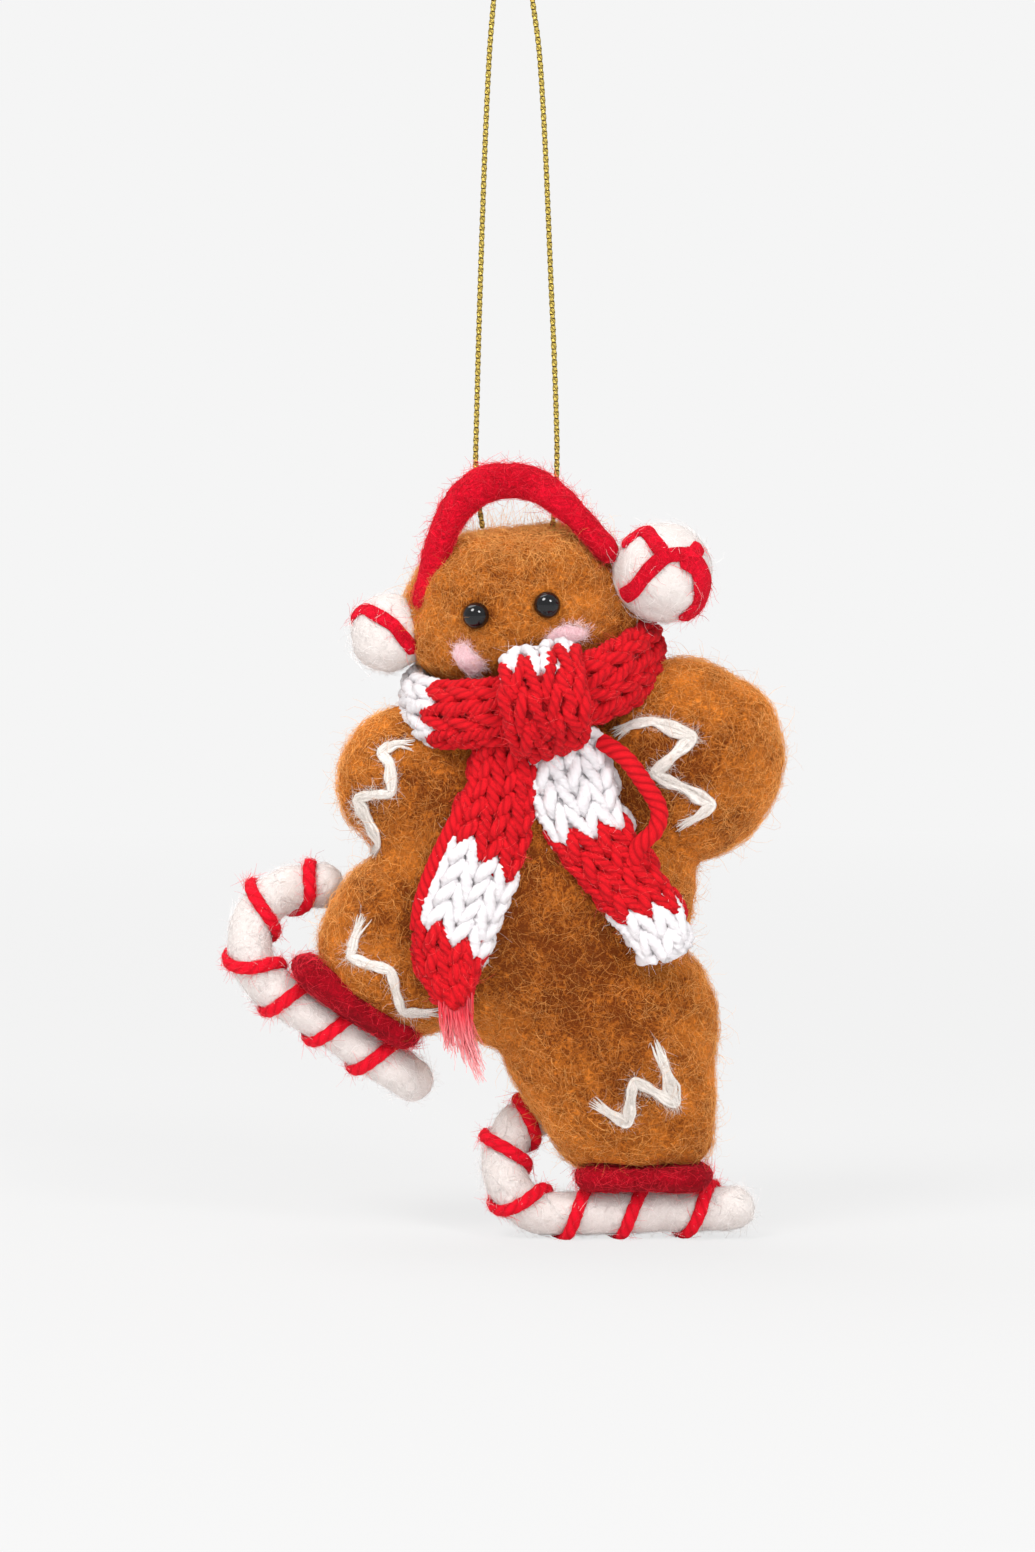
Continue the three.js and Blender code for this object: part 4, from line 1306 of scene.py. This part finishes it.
class GINGER_OT_tails(bpy.types.Operator):
    """Knits the two hanging tails, with their loose strands and the frayed yarn end"""

    bl_idname = "ginger.tails"
    bl_label = "Scarf tails"

    def execute(self, context):
        stitch = context.scene.scarf_settings.stitch
        for side, (shares, half_wide, swell, slant, kinds, seed, fold) in TAILS.items():
            place, length = tail_place(shares, half_wide, swell, slant, stitch)
            zone = (fold, -0.0105, -0.1246), (fold, -0.0105, -0.1275)
            scarf_piece(
                f"scarf_tail_{side}_knit", place, stitch, length / len(kinds), np.array(kinds), seed,
                "scarf_tail_" + side, "tail_" + side, zone,
            )
        for side, (shares, y, radius) in STRANDS.items():
            self.strand(side, shares, y, radius)
        self.fringe()
        return {"FINISHED"}

    @staticmethod
    def strand(side, shares, y, radius):
        points = Line(spot(shares, y)).even(0.00022)
        points[:, 1] += 0.0016 * np.abs(np.linspace(-1, 1, len(points))) ** 3
        strand = tube_piece("scarf_strand_" + side, points, FRONT, radius, 20, 4, 0.0062, 0.12)
        finished(strand, red_yarn(), "tail_" + side, ["scarf_float_" + side], cover=True)

    @staticmethod
    def fringe():
        """The end of the red yarn, frayed into locks of thin wisps."""
        rng = np.random.RandomState(5)
        foot = TAILS["left"][0][-1]
        top = spot(foot)[0] * [1, 0, 1] + [0.0002, TAIL_Y - 0.001, 0.0012]
        bundle = Bundle()
        t = np.linspace(0, 1, WISP_POINTS)[:, None]
        for across, lean, length in LOCKS:
            for _ in range(WISPS):
                aside = rng.normal(0, 0.3)
                root = [(across + aside) * 0.0018, rng.uniform(-0.0005, 0.0005), rng.uniform(0, 0.002)]
                reach = length * rng.uniform(0.72, 1.06)
                drop = t * [0, rng.uniform(-0.0004, 0.0004), -reach]
                sway = t * t * [lean * reach - aside * 0.0010, 0, 0]
                wander = np.cumsum(rng.normal(0, 0.00012, (WISP_POINTS, 3)), 0)
                path = top + root + drop + sway + wander * t
                size = rng.uniform(0.00007, 0.00015) * (1 - 0.6 * t[:, 0])
                bundle.add(tube(path, FRONT, size, 5), rng.uniform(0, 1))
        fringe = bundle.piece("scarf_frayed_end")
        finished(fringe, frayed_yarn(float(top[2])), "tail_left", ["scarf_fringe"])


# Headband and earmuffs.

BAND = [
    (-0.216, 0.142), (-0.191, 0.08), (-0.155, 0.01), (-0.114, -0.036), (-0.06, -0.06),
    (0, -0.064), (0.066, -0.05), (0.13, -0.015), (0.182, 0.024), (0.226, 0.06),
]
BAND_SHAPE = [0.66, 0.74, 0.88, 1.02, 0.92, 0.7, 0.7]
BAND_RADIUS = 0.0028

# A ball's centre, radius and seed.
BALLS = {
    "left": (spot([-0.286, 0.176], 0.0015)[0], 0.00605, 51),
    "right": (spot([0.333, 0.079], -0.005)[0], 0.00765, 52),
}

# A stripe's node, ball and half width, and its line over the front of a ball of radius 1.
STRIPES = {
    "stripe_upper": (
        "stripe_right_upper", "right", 0.0012,
        [(-0.80, 0.52), (-0.6, 0.72), (-0.38, 0.84), (-0.2, 0.66), (-0.06, 0.48), (0.02, 0.40)],
    ),
    "stripe_cross": (
        "stripe_right_cross", "right", 0.00125,
        [
            (-0.80, -0.46), (-0.58, -0.30), (-0.31, 0.05), (0, 0.33), (0.28, 0.39), (0.56, 0.38),
            (0.72, 0.56),
        ],
    ),
    "stripe_wide": (
        "stripe_right_wide", "right", 0.0019,
        [(0.33, 0.36), (0.55, 0.24), (0.70, 0.06), (0.76, -0.25), (0.67, -0.62), (0.36, -0.90)],
    ),
    "stripe_single": (
        "stripe_left", "left", 0.0011,
        [
            (-0.93, 0.30), (-0.84, 0.48), (-0.62, 0.62), (-0.28, 0.48), (0.12, 0.23), (0.37, -0.07),
            (0.64, -0.46),
        ],
    ),
}


class GINGER_OT_headband(bpy.types.Operator):
    """Rolls the red felt headband round its wire"""

    bl_idname = "ginger.headband"
    bl_label = "Headband"

    def execute(self, context):
        shares = np.array(BAND)
        points = spot(shares)
        points[:, 1] = -0.0043 - 0.008 * shares[:, 0]
        band = felt_rod("felt_headband", Line(points), BAND_RADIUS, 41, 28, 0.0002, BAND_SHAPE)
        finished(band, red_felt(), replaced=["headband"], cover=True)
        set_material(frame["nodes"]["headband_wire"], steel_wire())
        return {"FINISHED"}


class GINGER_OT_earmuffs(bpy.types.Operator):
    """Felts the two white balls and lays their red stripes"""

    bl_idname = "ginger.earmuffs"
    bl_label = "Earmuffs"

    def execute(self, context):
        for side, (centre, radius, seed) in BALLS.items():
            self.ball(side, centre, radius, seed)
        for name, (node_name, side, half_wide, path) in STRIPES.items():
            centre, radius, _ = BALLS[side]
            self.stripe(name, node_name, centre, radius, half_wide, path)
        return {"FINISHED"}

    @staticmethod
    def ball(side, centre, radius, seed):
        deselect()
        bpy.ops.mesh.primitive_ico_sphere_add(subdivisions=5, radius=radius, location=tuple(centre))
        ball = bpy.context.object
        ball.name = "earmuff_ball_" + side
        bpy.ops.object.transform_apply(location=True, rotation=True, scale=True)
        lump(ball, 0.0002, (1, 0.006, seed, 5), (0.5, 0.002, seed + 4, 8))
        bpy.ops.object.shade_smooth()
        finished(ball, white_felt(), replaced=["earmuff_" + side], cover=True)

    @staticmethod
    def stripe(name, node_name, centre, radius, half_wide, path):
        flat = np.array(path)
        depth = np.sqrt(np.clip(1 - (flat**2).sum(1), 0.02, 1))
        around = unit(np.stack([flat[:, 0], -depth, flat[:, 1]], 1))
        points = unit(Line(around * radius).even(0.0002)) * (radius + half_wide * 0.12)
        run = np.linspace(0, 1, len(points))
        ends = np.clip(np.minimum(run, 1 - run) * 14 + 0.45, 0, 1)
        size = half_wide * (1 + 0.05 * np.sin(run * 17)) * ends
        stripe = tube_piece(name, points + centre, unit(points), size, 16, flat=0.36)
        finished(stripe, red_felt(), replaced=[node_name], cover=True)


# Skates.

CANE_RADIUS = 0.0034
CANE_BEHIND = 17.4
SOLE_TO_MIDDLE = 0.9 + 0.6 + 3.35
WOUND_RADIUS, WOUND_OUT = 0.00105, 0.00385

# A cane's line, the places along it where the yarn crosses its front, and its seed.
CANES = {
    "raised": (
        ((-0.364, 0.758), 0.5, 146.4, 11.7, 8.4, 148, 6, 6.5),
        [0.04, 0.173, 0.308, 0.458, 0.574, 0.731, 0.886, 0.99], 61,
    ),
    "standing": (
        ((0.288, 1.011), 3.1, 181.7, 13.7, 7.7, 182, 1.2, 7),
        [0.02, 0.147, 0.331, 0.479, 0.627, 0.778, 0.877, 0.97], 62,
    ),
}

# How far a boot's felt grows, its seed and where it is pushed.
BOOTS = {
    "raised": (0.0008, 63, ()),
    "standing": (
        0.00045, 64, [((17.2, 0, -190.0), 24, (0, 0, -1.1)), ((30.3, 0, -188.4), 11, (1.0, 0, -0.9))],
    ),
}


def cane_line(foot, web, tread, heel, radius, hook_turn, hook_run, lean):
    """The middle line of a candy cane under a foot, in millimetres and degrees."""
    way = math.radians(tread)
    heelward = np.array([math.cos(way), 0, math.sin(way)])
    upward = np.array([heelward[2], 0, -heelward[0]])
    middle = spot(foot)[0] / MM - upward * (web + SOLE_TO_MIDDLE)
    start = middle + heelward * heel
    hook = []
    for k in range(1, 8):
        turn = math.radians(hook_turn) * k / 7
        p = start + heelward * radius * math.sin(turn) + upward * radius * (1 - math.cos(turn))
        p[1] = 1.2 + lean * (k / 7) ** 2
        hook.append(p)
    end = math.radians(hook_turn)
    tip = hook[-1] + heelward * hook_run * math.cos(end) + upward * hook_run * math.sin(end)
    return Line(np.array([middle - heelward * CANE_BEHIND, middle, start, *hook, tip]) * MM)


class GINGER_OT_skates(bpy.types.Operator):
    """Felts the candy canes and boots, and winds the red yarn"""

    bl_idname = "ginger.skates"
    bl_label = "Candy cane skates"

    def execute(self, context):
        for which, (sizes, fronts, seed) in CANES.items():
            self.cane(which, cane_line(*sizes), fronts, seed)
        for which, (grow, seed, pushes) in BOOTS.items():
            boot = felted("felt_boot_" + which, ["boot_" + which], 0.0006, grow, 7, 0.0004, seed, pushes)
            finished(boot, boot_felt_deeper_and_shaded(), replaced=["boot_" + which], cover=True)
        return {"FINISHED"}

    @staticmethod
    def cane(which, line, fronts, seed):
        cane = felt_rod("felt_cane_" + which, line, CANE_RADIUS, seed, 30, 0.00018)
        finished(cane, white_felt(), replaced=["cane_" + which])
        turns = np.linspace(0.62, len(fronts) - 1 - 0.78, 900)
        share = np.interp(turns, np.arange(len(fronts)), fronts)
        at = softened(share[:, None], 40)[:, 0] * line.length
        side, deep = across_and_front(line.tangent(at))
        turn = 2 * math.pi * (turns + 0.25)
        out = side * np.cos(turn)[:, None] + deep * np.sin(turn)[:, None]
        path = line.place(at) + out * WOUND_OUT
        points = Line(path[::3]).even(0.00022)
        nearest = np.linspace(0, len(out) - 1, len(points))
        refs = unit(np.stack([np.interp(nearest, np.arange(len(out)), column) for column in out.T], 1))
        yarn = tube_piece("wound_yarn_" + which, points, refs, WOUND_RADIUS, 15, 3, 0.0068, 0.1, flat=0.72)
        finished(yarn, winding_yarn(), replaced=["cane_yarn_" + which], cover=True)


# Cheeks and icing.

# Corners of each zigzag, in pixels of the picture.
ICING = {
    "icing_arm_left": [
        (415, 745), (398, 743), (380, 752), (391, 762), (393, 792), (375, 794), (357, 798), (369, 820),
        (380, 845), (370, 860),
    ],
    "icing_arm_right": [
        (612, 734), (630, 724), (652, 720), (695, 735), (672, 754), (651, 772), (683, 786), (714, 803),
        (694, 817), (674, 829),
    ],
    "icing_leg_raised": [
        (366, 914), (357, 934), (350, 957), (370, 964), (391, 968), (396, 990), (402, 1012),
        (422, 1013), (444, 1014),
    ],
    "icing_leg_standing": [
        (590, 1100), (609, 1113), (628, 1125), (630, 1098), (633, 1077), (654, 1091), (676, 1105),
        (666, 1070), (655, 1038),
    ],
}

# Outline of each cheek, in pixels of the picture, and its seed.
CHEEKS = {
    "left": ([(462, 640), (452, 652), (462, 668), (474, 676), (486, 664), (474, 650)], 81),
    "right": ([(546, 634), (560, 624), (580, 624), (588, 632), (572, 642), (552, 644)], 82),
}
AROUND = 40
ICING_STRANDS = 20


def from_picture(pixels):
    """Points in front of the man from places in the picture."""
    a = np.array(pixels, float)
    x, z = (a[:, 0] - PICTURE_MIDDLE) / PX_PER_MM, -(a[:, 1] - PICTURE_TOP) / PX_PER_MM
    return np.stack([x, np.full(len(a), -20.0), z], 1) * MM


def wool_strand(rng, corners, tree):
    """One thin strand along a zigzag, which spreads least at its corners and thins towards its ends."""
    at = np.concatenate([[0], np.cumsum(np.linalg.norm(np.diff(corners, axis=0), axis=1))])
    first, last = 0.0042 * rng.uniform(0, 1, 2) ** 1.6 * [1, -1] + [0, at[-1]]
    run = np.linspace(first, last, 100)
    path = softened(np.stack([np.interp(run, at, column) for column in corners.T], 1))
    aside = unit(np.cross(np.gradient(path, axis=0), FRONT))
    turned = np.abs(run[:, None] - at[1:-1]).min(1)
    spread = 0.00042 + 0.00055 * np.clip(turned / 0.0028, 0, 1) ** 1.5
    sway = rng.uniform(-1, 1) + 0.3 * np.sin(run / at[-1] * rng.uniform(9, 20) + rng.uniform(0, 6))
    path = path + aside * (spread * sway)[:, None]
    laid, away = laid_on(path, tree, rng.uniform(0.0001, 0.00042))
    ends = np.clip(np.minimum(run - run[0], run[-1] - run) / 0.0034, 0, 1)
    size = 0.0003 * rng.uniform(0.6, 1.15) * (0.16 + 0.84 * ends)
    return tube(softened(laid), unit(softened(away, 10)), size, 6)


class GINGER_OT_icing(bpy.types.Operator):
    """Lays the white wool icing in zigzags on the arms and legs"""

    bl_idname = "ginger.icing"
    bl_label = "Wool icing"

    def execute(self, context):
        tree = surface_of(bpy.data.objects["gingerbread_body"])
        for k, (name, pixels) in enumerate(ICING.items()):
            rng = np.random.RandomState(70 + k)
            corners = from_picture(pixels)
            bundle = Bundle()
            for _ in range(ICING_STRANDS):
                bundle.add(wool_strand(rng, corners, tree))
            strand = bundle.piece("wool_" + name)
            finished(strand, icing_wool(), replaced=[name], cover=True)
        return {"FINISHED"}


class GINGER_OT_cheeks(bpy.types.Operator):
    """Lays a tuft of pink wool on each cheek"""

    bl_idname = "ginger.cheeks"
    bl_label = "Cheeks"

    def execute(self, context):
        tree = surface_of(bpy.data.objects["gingerbread_head"])
        for side, (outline, seed) in CHEEKS.items():
            self.tuft(side, outline, seed, tree)
        return {"FINISHED"}

    @staticmethod
    def tuft(side, outline, seed, tree):
        edge = Line(from_picture(outline), closed=True)
        rim = edge.place(np.linspace(0, edge.length, AROUND, endpoint=False))
        centre = rim.mean(0)
        rings = []
        for share in (1.0, 0.86, 0.66, 0.42, 0.2):
            laid, away = laid_on(centre + (rim - centre) * share, tree)
            rings.append(laid + away * (0.0009 * math.sqrt(max(0.0, 1 - share**2)) - 0.0001))
        top, way = laid_on([centre], tree)
        points = np.vstack(rings + [top + way * 0.0009, top - way * 0.0006])
        tip, under = len(points) - 2, len(points) - 1
        turn = [(k, (k + 1) % AROUND) for k in range(AROUND)]
        last = tip - AROUND
        faces = []
        for low in range(0, last, AROUND):
            high = low + AROUND
            for k, n in turn:
                faces += [(low + k, low + n, high + n), (low + k, high + n, high + k)]
        for k, n in turn:
            faces += [(last + k, last + n, tip), (k, under, n)]
        tuft = new_piece("cheek_tuft_" + side, points, faces)
        edit_whole(tuft, bpy.ops.mesh.normals_make_consistent, inside=False)
        apply_modifier(tuft, "SUBSURF", levels=2, render_levels=2)
        lump(tuft, 0.00016, (1, 0.0016, seed, 8))
        finished(tuft, pink_wool(), replaced=["cheek_" + side], cover=True)


# Hair.

HAIR_STEPS = 3
SWIRL = 0.016
BROWN_HAIR = (0.34, 0.085, 0.008), (0.95, 0.46, 0.13)
# The crown tuft's gold is painted light on the top of the head.
GOLD_HAIR_PAINTED_LIGHT = (0.66, 0.25, 0.04), (0.98, 0.52, 0.16)
RED_HAIR = (0.42, 0.002, 0.010), (0.86, 0.025, 0.05)
WHITE_HAIR = (0.66, 0.60, 0.58), (0.86, 0.83, 0.82)
ICING_HAIR = (0.60, 0.54, 0.49), (0.86, 0.82, 0.78)
PINK_HAIR = (0.78, 0.50, 0.54), (0.96, 0.80, 0.82)
SCARF_HAIR = (0.95, 0.05, 0.05), (0.98, 0.95, 0.97)
CROWN = np.array([0.0015, -0.001, -0.0905])

# What each cover of hair lies on, its count, length, thickness, lift, seed, colours, slot and share astray.
COATS = {
    "red_felt_hair": (
        ["felt_headband", "felt_boot_raised", "felt_boot_standing"],
        4200, 0.0030, 0.00008, 0.0005, 131, RED_HAIR, "red_wool", 0.07,
    ),
    "white_felt_hair": (
        ["earmuff_ball_left", "earmuff_ball_right", "felt_cane_raised", "felt_cane_standing"],
        4200, 0.0032, 0.00008, 0.0006, 137, WHITE_HAIR, "white_wool", 0.07,
    ),
    "winding_hair": (
        ["wound_yarn_raised", "wound_yarn_standing", *STRIPES],
        3200, 0.0024, 0.00007, 0.0006, 139, RED_HAIR, "red_wool", 0.1,
    ),
    "icing_hair": (
        ["wool_" + name for name in ICING],
        3400, 0.0022, 0.00006, 0.0003, 149, ICING_HAIR, "icing_wool", 0.02,
    ),
    "cheek_hair": (
        ["cheek_tuft_left", "cheek_tuft_right"],
        1700, 0.0019, 0.00007, 0.0003, 151, PINK_HAIR, "pink_wool", 0.05,
    ),
}


def hair_roots(rng, sources, count, covered, clear, where, by_kind):
    """Places, directions and kinds on surfaces, closer set at rims, and none where a cover lies over."""
    corners, ways, kinds = [], [], []
    for name in sources:
        source = bpy.data.objects[name]
        p, n, t = points_of(source), normals_of(source), triangles_of(source)
        kind = np.zeros(len(p), np.float32)
        # Without kinds, hairs take the middle attribute, the share of painted shade in the body's middle.
        found = source.data.attributes.get("kind" if by_kind else "middle")
        if found:
            found.data.foreach_get("value", kind)
        corners.append(p[t])
        ways.append(n[t])
        kinds.append(kind[t[:, 0]])
    corners, ways, kinds = np.vstack(corners), np.vstack(ways), np.concatenate(kinds)
    if where is not None:
        kept = where(corners[:, 0])
        corners, ways, kinds = corners[kept], ways[kept], kinds[kept]
    area = np.linalg.norm(np.cross(corners[:, 1] - corners[:, 0], corners[:, 2] - corners[:, 0]), axis=1)
    area = area * (1 + 1.3 * (1 - np.abs(ways[:, 0, 1])) ** 2)
    face = rng.choice(len(area), int(count * 1.6), p=area / area.sum())
    u, v = rng.uniform(size=(2, len(face), 1))
    fold = u + v > 1
    u, v = np.where(fold, 1 - u, u), np.where(fold, 1 - v, v)
    root = corners[face, 0] * (1 - u - v) + corners[face, 1] * u + corners[face, 2] * v
    normal = unit(ways[face, 0] * (1 - u - v) + ways[face, 1] * u + ways[face, 2] * v)
    if covered is not None:
        pairs = zip(root, normal)
        free = [covered.ray_cast(Vector(r - n * 0.0004), Vector(n), clear)[0] is None for r, n in pairs]
        root, normal, face = root[free], normal[free], face[free]
    return root[:count], normal[:count], kinds[face[:count]]


def hair_skin(rng, root, normal, length, thickness, lift, seed, stray):
    """The corners of each hair, which runs along the surface, curls and may stand off it."""
    n = len(root)
    field = np.stack([waves(root, SWIRL, seed + k, 4) for k in (1, 2, 3)], 1)
    field += rng.normal(0, 0.75, (n, 3))
    along = unit(field - normal * (field * normal).sum(1, keepdims=True))
    beside = np.cross(normal, along)
    reach = length * rng.uniform(0.5, 1.25, (n, 1))
    loose = rng.uniform(size=(n, 1)) < stray
    rise = lift * rng.uniform(0.1, 1, (n, 1)) ** 2 * np.where(loose, 4.5, 1)
    curl = rng.normal(0, 0.4, (n, 1)) * reach
    wave, phase = rng.uniform(4, 10, (n, 1)), rng.uniform(0, 6.28, (n, 1))
    sway = rng.uniform(0.02, 0.13, (n, 1)) * reach
    size = thickness * rng.uniform(0.55, 1.15, (n, 1)) * np.where(loose, 0.62, 1)
    rings = []
    for j in range(HAIR_STEPS + 1):
        t = j / HAIR_STEPS
        hug = (t * reach) ** 2 / 2 / 0.017
        arch = rise * np.sin(t * math.pi * np.where(loose, 0.55, 0.92))
        out = -0.00016 + arch - hug * np.where(loose, 0.1, 0.85)
        side = curl * t * t + sway * np.sin(wave * t + phase) * min(1, 3 * t)
        rings.append(root + along * reach * t + beside * side + normal * out)
    rings = np.stack(rings, 1)
    ahead = unit(np.gradient(rings, axis=1))
    a = unit(np.cross(ahead, normal[:, None] + 0.01))
    b = np.cross(a, ahead)
    turn = (np.arange(3) * 2 * math.pi / 3)[:, None]
    taper = np.linspace(1, 0.35, HAIR_STEPS + 1)[None, :, None, None]
    round_it = a[:, :, None] * np.cos(turn) + b[:, :, None] * np.sin(turn)
    return (rings[:, :, None] + round_it * size[:, None, None] / 2 * taper).reshape(-1, 3)


def hair_faces():
    """The faces of one closed three-sided hair, and their places on its square of the map."""
    faces, places = [], []
    for j in range(HAIR_STEPS):
        y0, y1 = (j + 0.5) / (HAIR_STEPS + 1), (j + 1.5) / (HAIR_STEPS + 1)
        for k in range(3):
            m = (k + 1) % 3
            p, q, r, s = j * 3 + k, j * 3 + m, (j + 1) * 3 + m, (j + 1) * 3 + k
            x0, x1 = k / 3, (k + 1) / 3
            faces += [(p, q, r), (p, r, s)]
            places += [((x0, y0), (x1, y0), (x1, y1)), ((x0, y0), (x1, y1), (x0, y1))]
    top = HAIR_STEPS * 3
    faces += [(0, 2, 1), (top, top + 1, top + 2)]
    places += [((0, 0), (0.5, 0.08), (1, 0)), ((0, 1), (1, 1), (0.5, 0.92))]
    return np.array(faces), np.array(places)


def hair(
    name, sources, count, length, thickness, lift, seed, colours, slot, stray,
    body="figure", covered=None, clear=0.005, where=None, by_kind=False,
):
    """Wool hairs laid on the surfaces of objects as thin closed tubes."""
    rng = np.random.RandomState(seed)
    count = int(count * (1.0))
    root, normal, kinds = hair_roots(rng, sources, count, covered, clear, where, by_kind)
    points = hair_skin(rng, root, normal, length, thickness, lift, seed, stray)
    n, each = len(root), (HAIR_STEPS + 1) * 3
    faces, places = hair_faces()
    faces = (faces[None] + np.arange(n)[:, None, None] * each).reshape(-1, 3)
    made = new_piece(name, points, faces)
    # Each hair's tone: random, plus painted rim light where its surface turns away from the front, less
    # painted shade from the middle attribute.
    edge = 0.75 * (1 - np.abs(normal[:, 1])) ** 1.5
    mixed = np.clip(rng.normal(0.40, 0.26, n) + edge - 0.2 * kinds, 0, 1)
    add_attribute(made, "shade", np.repeat(kinds if by_kind else mixed, each))
    side = math.ceil(math.sqrt(n))
    cell = np.stack([np.arange(n) % side, np.arange(n) // side], 1)[:, None, None]
    layer = made.data.uv_layers.new(name="OFBake")
    corner_places = (cell + 0.06 + 0.88 * places[None]) / side
    layer.uv.foreach_set("vector", corner_places.astype(np.float32).ravel())
    finished(made, hair_material(name + " hair", *colours), body)


class GINGER_OT_hair(bpy.types.Operator):
    """Lays loose wool hairs over the felt, the yarn and the icing"""

    bl_idname = "ginger.hair"
    bl_label = "Wool hair"

    def execute(self, context):
        s = context.scene.felt_settings
        piece = bpy.data.objects
        covered = surface_of(*COVERS, piece["bead_eye_left"], piece["bead_eye_right"])
        long, thin, head = s.hair_length, s.hair_thickness, ["gingerbread_head"]
        for k, part in enumerate(("one", "two", "three", "four")):
            hair(
                "body_hair_" + part, ["gingerbread_body"], 7400, long, thin, 0.0008, 100 + 7 * k,
                BROWN_HAIR, "felt", 0.09, covered=covered,
            )
        for k, part in enumerate(("one", "two")):
            hair(
                "head_hair_" + part, head, 6500, long * 0.9, thin, 0.0008, 130 + 7 * k,
                BROWN_HAIR, "felt", 0.09, covered=covered,
            )
        # The crown tuft's gold is painted light on the top of the head.
        hair(
            "crown_tuft", head, 1500, 0.0036, 0.00009, 0.0013, 161, GOLD_HAIR_PAINTED_LIGHT, "felt", 0.2,
            covered=covered, clear=0.0015, where=near_crown,
        )
        for name, coat in COATS.items():
            hair(name, *coat)
        hair(
            "collar_hair", ["scarf_round_neck", "scarf_knot_fold"], 2200, 0.0024, 0.00006, 0.0006, 157,
            SCARF_HAIR, "scarf_yarn", 0.3, by_kind=True,
        )
        for k, side in enumerate(TAILS):
            hair(
                "tail_hair_" + side, [f"scarf_tail_{side}_knit"], 1000, 0.0024, 0.00006, 0.0006, 167 + k,
                SCARF_HAIR, "scarf_yarn", 0.3, body="tail_" + side, where=below_fold, by_kind=True,
            )
        return {"FINISHED"}


def near_crown(places):
    return np.linalg.norm((places - CROWN) * [0.6, 0.7, 1.5], axis=1) < 0.0060


def below_fold(places):
    return places[:, 2] < -0.1285


OPERATORS = [
    GINGER_OT_stage, GINGER_OT_cord, GINGER_OT_body, GINGER_OT_head, GINGER_OT_eyes, GINGER_OT_headband,
    GINGER_OT_earmuffs, GINGER_OT_skates, GINGER_OT_collar, GINGER_OT_knot, GINGER_OT_tails, GINGER_OT_icing,
    GINGER_OT_cheeks, GINGER_OT_hair,
]


class GINGER_PT_panel(bpy.types.Panel):
    """Lists the pieces of the gingerbread man"""

    bl_label = "Gingerbread man"
    bl_idname = "GINGER_PT_panel"
    bl_space_type = "VIEW_3D"
    bl_region_type = "UI"
    bl_category = "Gingerbread"

    def draw(self, context):
        for one in OPERATORS:
            self.layout.operator(one.bl_idname)


SETTINGS = {
    "cord_settings": CordSettings,
    "felt_settings": FeltSettings,
    "scarf_settings": ScarfSettings,
    "stage_settings": StageSettings,
}


def register():
    for group in SETTINGS.values():
        bpy.utils.register_class(group)
    for one in OPERATORS:
        bpy.utils.register_class(one)
    bpy.utils.register_class(GINGER_PT_panel)
    for name, group in SETTINGS.items():
        setattr(bpy.types.Scene, name, bpy.props.PointerProperty(type=group))


def unregister():
    for name in SETTINGS:
        delattr(bpy.types.Scene, name)
    bpy.utils.unregister_class(GINGER_PT_panel)
    for one in reversed(OPERATORS):
        bpy.utils.unregister_class(one)
    for group in SETTINGS.values():
        bpy.utils.unregister_class(group)


def main():
    register()
    for one in OPERATORS:
        area, name = one.bl_idname.split(".")
        getattr(getattr(bpy.ops, area), name)()


if __name__ == "__main__":
    main()
